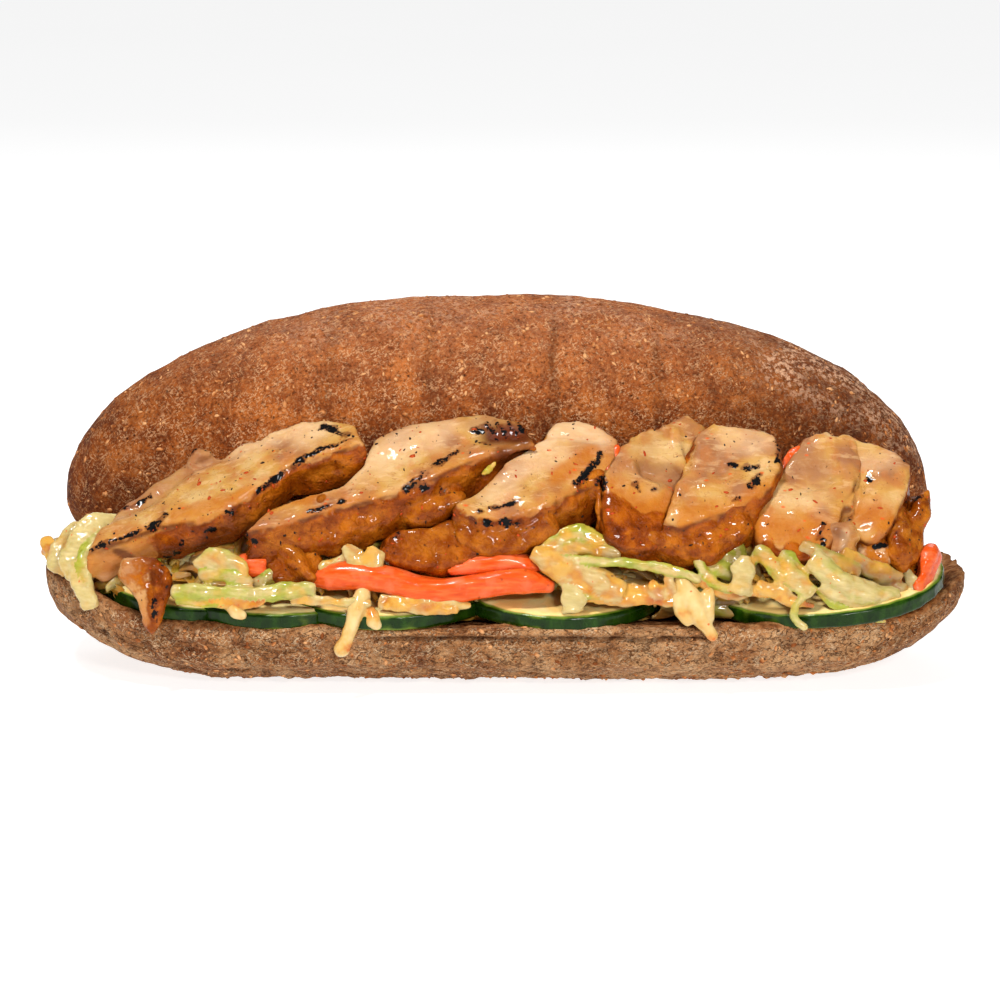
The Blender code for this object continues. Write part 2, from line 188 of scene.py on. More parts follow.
def grain(points, size, seed):
    """Smooth noise from -1 to 1 at each point, with lumps about `size` across."""
    shift = np.array((seed * 17.3, seed * -5.1, seed * 9.7))
    return np.array([noise.noise(p) for p in (points / size + shift).tolist()])


def tree_of(places):
    """A search tree that finds the nearest of some places."""
    tree = kdtree.KDTree(len(places))
    for index, place in enumerate(places):
        tree.insert(place, index)
    tree.balance()
    return tree


def turn_of(lean, rise=0, yaw=0):
    """The matrix that leans, raises and yaws a piece by degrees."""
    return np.array(Euler((math.radians(lean), math.radians(-rise), math.radians(yaw))).to_matrix())


def near_line(points, line):
    """Each point's distance from a line drawn through a few places."""
    line = np.atleast_2d(np.array(line, float))
    if len(line) == 1:
        return np.linalg.norm(points - line[0], axis=1)
    best = np.full(len(points), np.inf)
    for start, end in zip(line[:-1], line[1:]):
        along = end - start
        share = np.clip((points - start) @ along / (along @ along), 0, 1)
        gap = np.linalg.norm(points - start - share[:, None] * along, axis=1)
        best = np.minimum(best, gap)
    return best


# ---------------------------------------------------------------- finishes


def linear(colour):
    """A colour given as 0 to 255 in sRGB, as the renderer's linear RGBA."""
    shares = [c / 255 for c in colour]
    return [s / 12.92 if s <= 0.04045 else ((s + 0.055) / 1.055) ** 2.4 for s in shares] + [1.0]


class Finish:
    """A material put together from noise, cells and painted layers on Object coordinates."""

    def __init__(self, name, **shader_values):
        self.material = bpy.data.materials.new(name)
        self.material.use_nodes = True
        self.tree = self.material.node_tree
        self.shader = self.tree.nodes["Principled BSDF"]
        self.place = self.tree.nodes.new("ShaderNodeTexCoord").outputs["Object"]
        for key, value in shader_values.items():
            self.shader.inputs[key.replace("_", " ")].default_value = value

    def lets_light_in(self, weight, colours, depth):
        """Light scatters under the surface, about `depth` millimetres in."""
        self.shader.inputs["Subsurface Weight"].default_value = weight
        self.shader.inputs["Subsurface Radius"].default_value = colours
        self.shader.inputs["Subsurface Scale"].default_value = depth * MM

    def node(self, kind, settings=(), **sources):
        """Adds one node; `sources` are its inputs by name, as sockets or as values."""
        made = self.tree.nodes.new("ShaderNode" + kind)
        for key, value in dict(settings).items():
            setattr(made, key, value)
        for key, value in sources.items():
            self.feed(made.inputs[key.replace("_", " ")], value)
        return made

    def feed(self, socket, value):
        """Links a socket to another one, or sets its value."""
        if isinstance(value, bpy.types.NodeSocket):
            self.tree.links.new(value, socket)
        else:
            socket.default_value = value

    def turned(self, angles, stretch=(1, 1, 1), shift=(0, 0, 0)):
        """Object coordinates turned by degrees and stretched, for a pattern with a direction."""
        turn = self.node("Mapping", {"vector_type": "TEXTURE"}, Vector=self.place)
        turn.inputs["Rotation"].default_value = [math.radians(a) for a in angles]
        turn.inputs["Scale"].default_value = stretch
        turn.inputs["Location"].default_value = [s * MM for s in shift]
        return turn.outputs["Vector"]

    def noise(self, size, detail=3.0, rough=0.55, place=None, warp=0.0):
        """Noise from 0 to 1 whose lumps are about `size` millimetres across."""
        made = self.node("TexNoise", Vector=place or self.place, Scale=1 / (size * MM))
        made.inputs["Detail"].default_value = detail
        made.inputs["Roughness"].default_value = rough
        made.inputs["Distortion"].default_value = warp
        return made.outputs["Fac"]

    def cells(self, size, place):
        """(distance from a cell's middle in cell sizes, the cell's own random number)."""
        made = self.node("TexVoronoi", Vector=place, Scale=1 / (size * MM))
        pick = self.node("SeparateColor", Color=made.outputs["Color"])
        return made.outputs["Distance"], pick.outputs["Red"]

    def warped(self, size, amount, shift=(0, 0, 0)):
        """Object coordinates pushed about, so that spots on them lose their round outline."""
        made = self.node("TexNoise", Vector=self.place, Scale=1 / (size * MM))
        made.inputs["Detail"].default_value = 2
        push = self.node("VectorMath", {"operation": "SUBTRACT"})
        self.feed(push.inputs[0], made.outputs["Color"])
        push.inputs[1].default_value = (0.5, 0.5, 0.5)
        grow = self.node("VectorMath", {"operation": "SCALE"})
        self.feed(grow.inputs[0], push.outputs[0])
        grow.inputs["Scale"].default_value = amount * 2 * MM
        total = self.node("VectorMath", {"operation": "ADD"})
        self.feed(total.inputs[0], grow.outputs[0])
        self.feed(total.inputs[1], self.turned((0, 0, 0), (1, 1, 1), shift))
        return total.outputs[0]

    def painted(self, name):
        """The number that `paint` stored on the piece under this name."""
        made = self.node("Attribute", {"attribute_name": name, "attribute_type": "GEOMETRY"})
        return made.outputs["Fac"]

    def math(self, operation, first, second=0.0):
        made = self.node("Math", {"operation": operation})
        self.feed(made.inputs[0], first)
        self.feed(made.inputs[1], second)
        return made.outputs[0]

    def plus(self, first, second):
        return self.math("ADD", first, second)

    def minus(self, first, second):
        return self.math("SUBTRACT", first, second)

    def times(self, first, second):
        return self.math("MULTIPLY", first, second)

    def lines(self, source, width, sharp):
        """Thin lines where a noise passes its middle value."""
        return self.band(self.math("ABSOLUTE", self.minus(source, 0.5)), width, sharp)

    def band(self, source, low, high, floor=0.0, top=1.0):
        """floor where the source is under low, top where it is over high, smooth between."""
        made = self.node("MapRange", {"interpolation_type": "SMOOTHSTEP"}, Value=source)
        limits = {"From Min": low, "From Max": high, "To Min": floor, "To Max": top}
        for key, value in limits.items():
            made.inputs[key].default_value = value
        return made.outputs["Result"]

    def mix(self, share, first, second):
        """Mixes two colours; a colour is a socket or 0 to 255 sRGB."""
        made = self.node("Mix", {"data_type": "RGBA", "clamp_result": True})
        # The node's colour mix has its share in socket 0 and its colours in sockets 6 and 7.
        number, first_colour, second_colour = (made.inputs[i] for i in (0, 6, 7))
        self.feed(number, share)
        for socket, colour in ((first_colour, first), (second_colour, second)):
            self.feed(socket, colour if isinstance(colour, bpy.types.NodeSocket) else linear(colour))
        return made.outputs[2]

    def ramp(self, source, *stops):
        """A colour ramp; each stop is (position, 0 to 255 sRGB colour)."""
        made = self.node("ValToRGB", Fac=source)
        bar = made.color_ramp.elements
        while len(bar) < len(stops):
            bar.new(0.5)
        for element, (position, colour) in zip(bar, stops):
            element.position = position
            element.color = linear(colour)
        return made.outputs["Color"]

    def bump(self, height, depth, strength):
        """A height as relief, `depth` millimetres high where it is 1."""
        made = self.node("Bump", Height=height, Distance=depth * MM, Strength=strength)
        return made.outputs["Normal"]

    def done(self, colour, roughness=None, normal=None):
        """Wires the finished colour, gloss and relief to the shader."""
        for key, value in (("Base Color", colour), ("Roughness", roughness), ("Normal", normal)):
            if value is not None:
                self.feed(self.shader.inputs[key], value)
        return self.material


def speckle(look, size, share, edge, place, soft=0.12):
    """Scattered spots: the share of cells that hold one, each about `edge` of a cell wide."""
    gap, pick = look.cells(size, place)
    spot = look.band(gap, edge + soft, edge - soft)
    chosen = look.band(pick, share + 0.01, share - 0.01)
    return look.times(spot, chosen)


# ---------------------------------------------------------------- the roll

# Upright hollows in the front of the lid: where along the roll, half width, depth.
DIMPLES = (
    (-62.0, 3.6, 0.45),
    (-37.0, 3.2, 0.6),
    (-15.4, 2.2, 0.7),
    (11.4, 1.7, 1.2),
    (34.0, 2.6, 0.7),
    (58.0, 3.2, 0.5),
)
# Heights over which the hollows start and end.
DIMPLE_FOOT = (40.0, 52.0)
DIMPLE_TOP = (78.0, 66.0)
# The long fold in the front of the base.
CREASE_HEIGHT = 13.5
CREASE_ENDS = (-24.0, 42.0)
CREASE_DEPTH = 1.5
CREASE_LIP = 0.55
# Small holes in the base, with painted shade inside them: place, radius.
DARK_HOLES = (((-84.6, -24.7, 11.3), 1.9), ((-57.1, -28.1, 4.7), 1.4), ((-54.6, -28.1, 4.2), 1.0))
# The cut faces lie inside these: above the underside, short of the outer crust.
UNDERSIDE = 5.0
CRUMB_HALF_DEPTH = 34.0
BASE_CUT_BELOW = 27.0
LID_CUT_ABOVE = 22.0
# The pale base ends and the brown lid begins between these heights.
BASE_FADE = (32.0, 24.0)
# Flour on the right shoulder of the lid, partly a painted highlight, lies along this line.
FLOUR_AND_HIGHLIGHT_SHOULDER = ((62, 4, 66), (78, 8, 56), (86, 10, 44))


def crust_finish():
    """Baked wholemeal: brown, covered in short pale fibres, bran specks and tiny dark pits."""
    look = Finish("wholemeal_crust", Specular_IOR_Level=0.08)
    broad = look.noise(24, 3)
    patch = look.noise(5.5, 5, 0.65)
    fine = look.noise(0.8, 5, 0.7)
    tone = look.plus(look.times(broad, 0.45), look.times(patch, 0.55))
    lid = look.ramp(tone, (0.38, (92, 34, 6)), (0.5, (140, 66, 20)), (0.62, (184, 100, 40)))
    base = look.ramp(tone, (0.37, (132, 76, 40)), (0.49, (166, 112, 68)), (0.61, (206, 156, 108)))
    # Painted light: the top of the lid is made lighter, as lit from above.
    lid = look.mix(look.times(look.painted("top"), 0.3), lid, (218, 136, 88))
    colour = look.mix(look.painted("base"), lid, base)

    # The rough skin of the crust, and fine cracks where it is pale.
    colour = look.mix(look.band(fine, 0.5, 0.34, 0, 0.75), colour, (74, 32, 8))
    colour = look.mix(look.band(fine, 0.52, 0.68, 0, 0.6), colour, (206, 144, 90))
    splits = look.lines(look.noise(2.6, 3, 0.6, look.turned((0, 0, 0), (1.6, 1, 1))), 0.022, 0.004)
    cracks = look.times(splits, look.painted("base"))
    colour = look.mix(look.times(cracks, 0.7), colour, (92, 50, 22))

    # Short fibres of bran lying all ways.
    fibres = 0.0
    for angles, shove in (((20, 35, 10), 0), ((-35, 60, 80), 3), ((75, -20, 140), 7), ((10, 95, 45), 11)):
        along = look.turned(angles, (1, 1, 6), (shove, 0, 0))
        strip = look.band(look.noise(0.46, 1, 0.5, along), 0.60, 0.67)
        fibres = look.math("MAXIMUM", fibres, strip)
    fibre_share = look.times(fibres, look.band(look.noise(3.2, 3), 0.38, 0.62, 0.1, 0.65))
    fibre_tone = look.mix(look.painted("base"), (224, 166, 118), (226, 190, 150))
    colour = look.mix(fibre_share, colour, fibre_tone)
    bran = speckle(look, 1.7, 0.2, 0.17, look.warped(1.0, 0.9))
    colour = look.mix(look.times(bran, 0.6), colour, (222, 176, 130))
    pits = speckle(look, 1.7, 0.2, 0.13, look.warped(0.8, 0.5, (31, 5, 9)))
    colour = look.mix(look.times(pits, 0.9), colour, (46, 18, 6))

    # Painted shade in creases, hollows and holes, low on the lid and towards its ends; then flour, partly
    # a painted highlight; then the open crumb of the cut faces.
    dark_grain = look.band(look.noise(2.2, 4, 0.6), 0.3, 0.62, 0.4, 1)
    colour = look.mix(look.times(look.painted("dark"), dark_grain), colour, (68, 30, 10))
    # Flour, partly a painted highlight, on the ridge and right shoulder.
    flour_and_highlight = look.times(look.painted("flour_and_highlight"), look.band(look.noise(1.1, 4, 0.7), 0.46, 0.6))
    colour = look.mix(flour_and_highlight, colour, (230, 178, 140))
    crumb_cells, _ = look.cells(1.6, look.warped(1.5, 0.8))
    crumb_tone = look.ramp(crumb_cells, (0.1, (98, 54, 24)), (0.45, (146, 92, 50)), (0.8, (178, 126, 80)))
    colour = look.mix(look.painted("crumb"), colour, crumb_tone)

    height = look.plus(look.times(fine, 1.2), look.times(fibres, 0.45))
    height = look.minus(height, look.times(pits, 0.9))
    height = look.minus(height, look.times(cracks, 1.2))
    height = look.plus(height, look.times(bran, 0.4))
    normal = look.bump(height, 0.6, 0.9)
    rough = look.band(patch, 0.3, 0.7, 0.6, 0.85)
    return look.done(colour, rough, normal)


def roll_relief(p, crumb, base, front, wobble):
    """How far out each place on the roll is moved, and how much shade is painted into its creases and
    holes.
    """
    x, _, z = p.T
    lift = 0.8 * grain(p, 30, 2) + 0.45 * grain(p, 12, 4) + 0.26 * grain(p, 5, 5) + 0.12 * grain(p, 2.2, 6)
    for middle, width, depth in DIMPLES:
        line = ease(width, 0, np.abs(x - middle + 1.6 * wobble))
        lift -= depth * line * front * ease(*DIMPLE_FOOT, z) * ease(*DIMPLE_TOP, z)
    start, end = CREASE_ENDS
    along = ease(start - 6, start + 2, x) * ease(end + 6, end - 2, x)
    height = z - CREASE_HEIGHT - 0.5 * wobble - 0.35 * grain(p, 4, 8)
    fold = along * front
    lift -= CREASE_DEPTH * fold * ease(0.9, 0.0, np.abs(height))
    lift += CREASE_LIP * fold * ease(0.4, 1.4, height) * ease(4.2, 2.0, height)
    wrinkle = ease(0.10, 0.0, np.abs(grain(p * (0.55, 1, 1.2), 7, 9)))
    lift -= 0.42 * wrinkle * base * front
    crumbly = ease(4.5, 1.0, z) * (1 - crumb)
    lift += crumbly * (0.55 * grain(p, 1.7, 10) + 0.35 * grain(p, 3.6, 11))
    # Painted shade in the fold of the crease and in the wrinkles, and below in the holes.
    dark = 0.9 * fold * ease(0.7, 0.1, np.abs(height)) + 0.45 * wrinkle * base * front
    for place, radius in DARK_HOLES:
        hole = ease(radius, radius * 0.35, near_line(p, place) + 0.5 * grain(p, 1.3, 12))
        lift -= 0.9 * hole
        dark = np.maximum(dark, hole)
    lift += crumb * (0.5 + 0.3 * grain(p, 1.5, 13))
    return lift, dark


def flour_and_highlight_on(p, n):
    """Flour left along the ridge and on the right shoulder of the lid, partly a painted highlight there.
    """
    _, y, z = p.T
    ridge = ease(66, 79, z + 2.5 * grain(p, 14, 14)) * ease(30, 14, np.abs(y - 14))
    shoulder = ease(15, 4, near_line(p, FLOUR_AND_HIGHLIGHT_SHOULDER)) * ease(-0.2, 0.3, n[:, 2])
    return np.clip(0.5 * ridge + 0.9 * shoulder, 0, 1) * ease(-0.45, 0.35, grain(p, 8, 15))


def painted_shade_on(p, dark, front, wobble):
    """Painted shade: in creases and hollows, low on the lid and towards its ends."""
    x, _, z = p.T
    for middle, width, depth in DIMPLES:
        line = ease(width * 0.8, 0, np.abs(x - middle + 1.6 * wobble))
        dark = np.maximum(dark, depth * 0.55 * line * front * ease(46, 58, z) * ease(79, 70, z))
    # Painted shade low on the lid beside the filling, and towards both ends of the lid.
    baked = ease(34, 44, z)
    shade = ease(50, 36, z) * ease(30, 36, z) * front
    shade = np.maximum(shade, 2.0 * ease(26, 76, x) * baked)
    shade = np.maximum(shade, 0.8 * ease(-50, -92, x) * baked)
    return np.clip(np.maximum(dark, 0.35 * shade), 0, 1)


def make_roll():
    """The roll, and for the bran: its places, normals, and shares of pale base and of crumb."""
    roll = copy_of("bun", "roll")
    remake(roll, ROLL_GRAIN, 6)
    p, n = points_of(roll), normals_of(roll)
    _, y, z = p.T
    inside = (z > UNDERSIDE) & (np.abs(y) < CRUMB_HALF_DEPTH)
    crumb = np.where(inside & (z < BASE_CUT_BELOW), ease(0.55, 0.9, n[:, 2]), 0.0)
    crumb = np.maximum(crumb, np.where(inside & (z > LID_CUT_ABOVE), ease(-0.35, -0.7, n[:, 2]), 0.0))
    base = ease(*BASE_FADE, z + 1.5 * grain(p, 9, 3)) * (1 - crumb)
    front = ease(0.1, -0.5, n[:, 1])
    wobble = grain(p, 12, 1)
    lift, dark = roll_relief(p, crumb, base, front, wobble)
    moved = p + n * lift[:, None]
    moved[:, 2] = np.maximum(moved[:, 2], 0.0)
    set_points(roll, moved)

    paint(roll, "crumb", crumb)
    paint(roll, "base", base)
    # Flour, partly a painted highlight, on the ridge and right shoulder.
    paint(roll, "flour_and_highlight", flour_and_highlight_on(p, n))
    # Painted light: where the top of the lid is made lighter.
    paint(roll, "top", ease(52, 76, z) * ease(24, 8, np.abs(y)))
    # Painted shade, mixed into the crust's colour.
    paint(roll, "dark", painted_shade_on(p, dark, front, wobble))
    roll.data.materials.append(crust_finish())
    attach(roll, "root")
    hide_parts("bun")
    return moved, normals_of(roll), base, crumb


def bran_finish():
    """Flakes of bran: straw to brown, dry."""
    look = Finish("bran", Roughness=0.8, Specular_IOR_Level=0.12)
    tone = look.noise(2.6, 2, 0.5)
    colour = look.ramp(tone, (0.4, (128, 68, 30)), (0.5, (182, 112, 60)), (0.6, (214, 156, 104)))
    return look.done(colour, None, look.bump(look.noise(0.5, 2), 0.1, 0.5))


def strew(name, finish, places, normals):
    """Many small rough grains laid flat on the places given, in one mesh."""
    count, size, flat, sink, seed = STREWN[name]
    pick = random.Random(seed)
    bpy.ops.object.select_all(action="DESELECT")
    bpy.ops.mesh.primitive_ico_sphere_add(subdivisions=1, radius=0.5 * MM, location=(0, 0, 0))
    grain_piece = bpy.context.active_object
    shape = points_of(grain_piece)
    shape_faces = faces_of(grain_piece)
    bpy.data.objects.remove(grain_piece)
    points, faces = [], []
    for _ in range(count):
        spot = pick.randrange(len(places))
        out = normals[spot]
        heading = np.array([pick.gauss(0, 1) for _ in range(3)])
        heading -= out * (heading @ out)
        heading /= np.linalg.norm(heading)
        across = np.cross(out, heading)
        length = size * pick.choice((0.5, 0.7, 0.8, 1.0, 1.3, 2.0)) * pick.uniform(0.8, 1.2)
        width = length * pick.uniform(0.25, 0.8)
        rough = np.array([[pick.uniform(0.75, 1.25)] for _ in shape])
        laid = shape * rough * (length, width, length * flat)
        start = len(points)
        middle = places[spot] - out * sink * length
        points.extend(middle + laid[:, :1] * heading + laid[:, 1:2] * across + laid[:, 2:] * out)
        faces.extend(tuple(start + i for i in face) for face in shape_faces)
    return lay_mesh(name, points, faces, finish)


def lay_mesh(name, points, faces, finish):
    """One mesh of many small closed shapes, faces outward."""
    mesh = bpy.data.meshes.new(name)
    mesh.from_pydata([tuple(p * MM) for p in points], [], faces)
    piece = add_object(name, mesh)
    edit_all(piece, bpy.ops.mesh.normals_make_consistent, inside=False)
    bpy.ops.object.shade_smooth()
    piece.data.materials.append(finish)
    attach(piece, "root")
    return piece


def make_bran(places, normals, base, crumb):
    """Flakes of bran on the lid and the base, and crumbs round the foot."""
    crusty = (crumb < 0.1) & (places[:, 2] > 1.0)
    lid = np.flatnonzero(crusty & (base < 0.4) & (normals[:, 2] > -0.5))
    under = np.flatnonzero(crusty & (base > 0.6) & (places[:, 2] < 20))
    edge = np.flatnonzero(crusty & (places[:, 2] < 3.5))
    finish = bran_finish()
    for name, where in (("bran_on_lid", lid), ("bran_on_base", under), ("crumbs", edge)):
        strew(name, finish, places[where], normals[where])


# ---------------------------------------------------------------- the chicken

# Char along edges and in patches: half width, then places as (along, across, height) on the
# slice's own cut plane. A place with two numbers lies on the plane.
CHAR = {
    "chicken_slice_1": (
        (0.6, ((-26.2, 4.1), (-23.0, 4.6), (-19.6, 4.3), (-16.5, 4.9))),
        (0.9, ((-5.4, 10.4, 2.6), (-3.2, 11.1, 3.8), (-1.0, 10.0, 3.0))),
        (1.2, ((23.3, 4.2), (25.1, 2.2), (27.4, -0.6))),
        (0.9, ((-19.0, -5.0), (-16.5, -4.6), (-14.6, -3.4))),
        (0.3, ((-32.1, -4.6), (-24.7, -4.7), (-19.0, -5.0))),
        (0.9, ((-7.6, -9.8, -3.0), (-6.0, -9.8, -3.0))),
        (0.8, ((-2.2, -9.5, -0.8), (-1.0, -9.2, -0.8))),
        (0.7, ((-17.4, -6.7, -7.9), (-14.7, -7.9, -6.0), (-12.9, -8.5, -3.7))),
        (0.5, ((5.6, -6.8, -0.6), (10.1, -4.6, -0.3), (14.4, -3.0, -0.2))),
        (0.5, ((14.4, -3.0, -0.2), (21.0, -2.1), (27.5, -2.4))),
    ),
    "chicken_slice_2": (
        (0.5, ((-34.0, -1.0, -0.4), (-33.7, -3.1, -0.8), (-32.4, -5.0, -3.0))),
        (0.35, ((-19.5, -4.0), (-16.5, -4.3), (-12.0, -4.4))),
        (0.8, ((0.9, -6.4, -0.3), (3.6, -5.6, -0.2), (6.9, -4.6, -0.2), (9.4, -3.7, -0.2))),
        (0.5, ((9.4, -3.7), (12.2, -2.2), (15.2, -1.2))),
        (0.6, ((4.3, -6.6, -1.0), (6.4, -7.0, -2.2))),
        (0.6, ((8.3, -7.6, -3.6), (8.8, -7.8, -4.2))),
        (0.6, ((8.4, -8.7, -7.2), (6.8, -9.0, -8.2))),
        (0.6, ((19.4, 2.2), (20.6, 1.4), (22.4, 1.0))),
        (0.9, ((22.0, 2.4), (23.0, 0.2), (23.4, -1.8))),
        (0.8, ((24.6, 2.2), (25.0, -0.4), (25.2, -2.6))),
        (0.8, ((26.8, 1.2), (27.2, -1.4), (27.2, -3.4))),
        (0.7, ((28.8, 0.2), (29.0, -2.4))),
        (0.7, ((22.4, -4.4, -0.8), (24.6, -5.2, -1.6))),
        (0.7, ((26.0, -5.0, -1.0), (28.4, -5.0, -1.8))),
        (0.5, ((20.0, -1.6), (21.2, -3.0))),
        (0.5, ((-13.5, -8.8, -7.7), (-12.2, -8.8, -7.9))),
    ),
    "chicken_slice_3": (
        (0.6, ((-17.6, -1.8), (-17.2, -2.2))),
        (0.35, ((-15.6, -2.6), (-13.0, -3.6), (-10.0, -4.6))),
        (0.5, ((-18.1, -4.2, -0.9), (-17.4, -4.8, -0.9))),
        (0.8, ((-16.3, -6.0, -0.8), (-14.1, -7.2, -0.9), (-12.2, -8.3, -1.2))),
        (0.9, ((3.0, -8.1), (5.7, -7.7), (9.2, -6.4), (11.0, -5.2))),
        (0.8, ((6.8, -9.6, -0.9), (8.4, -10.3, -1.2))),
    ),
    "chicken_slice_4": (
        (1.1, ((-10.6, 0.4), (-10.4, -2.2))),
        (0.5, ((0.5, -3.0), (1.0, -3.2))),
        (0.3, ((-4.0, -1.6), (-3.0, -3.2))),
    ),
    "chicken_slice_5": (
        (0.9, ((12.6, 9.0), (13.6, 6.0), (13.4, 2.6), (12.2, 0.6))),
        (0.45, ((2.0, 1.8), (4.7, 0.5), (7.6, 0.2))),
        (0.7, ((6.9, -2.4), (6.0, -3.4), (4.8, -4.4))),
        (0.4, ((1.6, -6.2), (0.4, -6.6))),
    ),
    "chicken_slice_6": (
        (0.35, ((4.4, -8.0), (2.9, -11.2))),
        (0.4, ((3.6, -10.2), (4.2, -12.6))),
    ),
    "chicken_slice_7": (
        (0.4, ((-4.2, 1.1), (-3.8, 0.9))),
        (0.4, ((-1.4, 1.8), (-1.0, 1.6))),
        (0.4, ((-4.0, -8.4), (-4.3, -6.0))),
        (0.6, ((5.6, -6.4, -0.6), (6.0, -7.4, -2.6))),
    ),
    "chicken_flap": ((0.4, ((1.6, 1.0, 0.6), (2.2, -2.0, 0.6), (1.8, -6.0, 0.6))),),
    "chicken_lobe": ((0.5, ((-9.4, 3.2, 0.6), (-8.0, 2.0, 0.6), (-6.6, 2.4, 0.6), (-5.8, 3.4, 0.6))),),
    "chicken_chunk": ((0.15, ((-4.4, 1.4, 0.4), (-1.0, 1.2, 0.5), (3.6, 1.8, 0.4))),),
    "chicken_skin": (
        (1.0, ((-3.4, 8.4, 0.6), (0.0, 9.4, 0.6), (4.4, 9.6, 0.4))),
        (0.8, ((-4.0, 7.0, 2.4), (-1.0, 8.0, 2.4), (2.0, 8.4, 2.0))),
        (0.5, ((-0.8, 2.0, 2.8), (0.4, -1.6, 2.8), (1.0, -4.2, 2.8))),
    ),
}

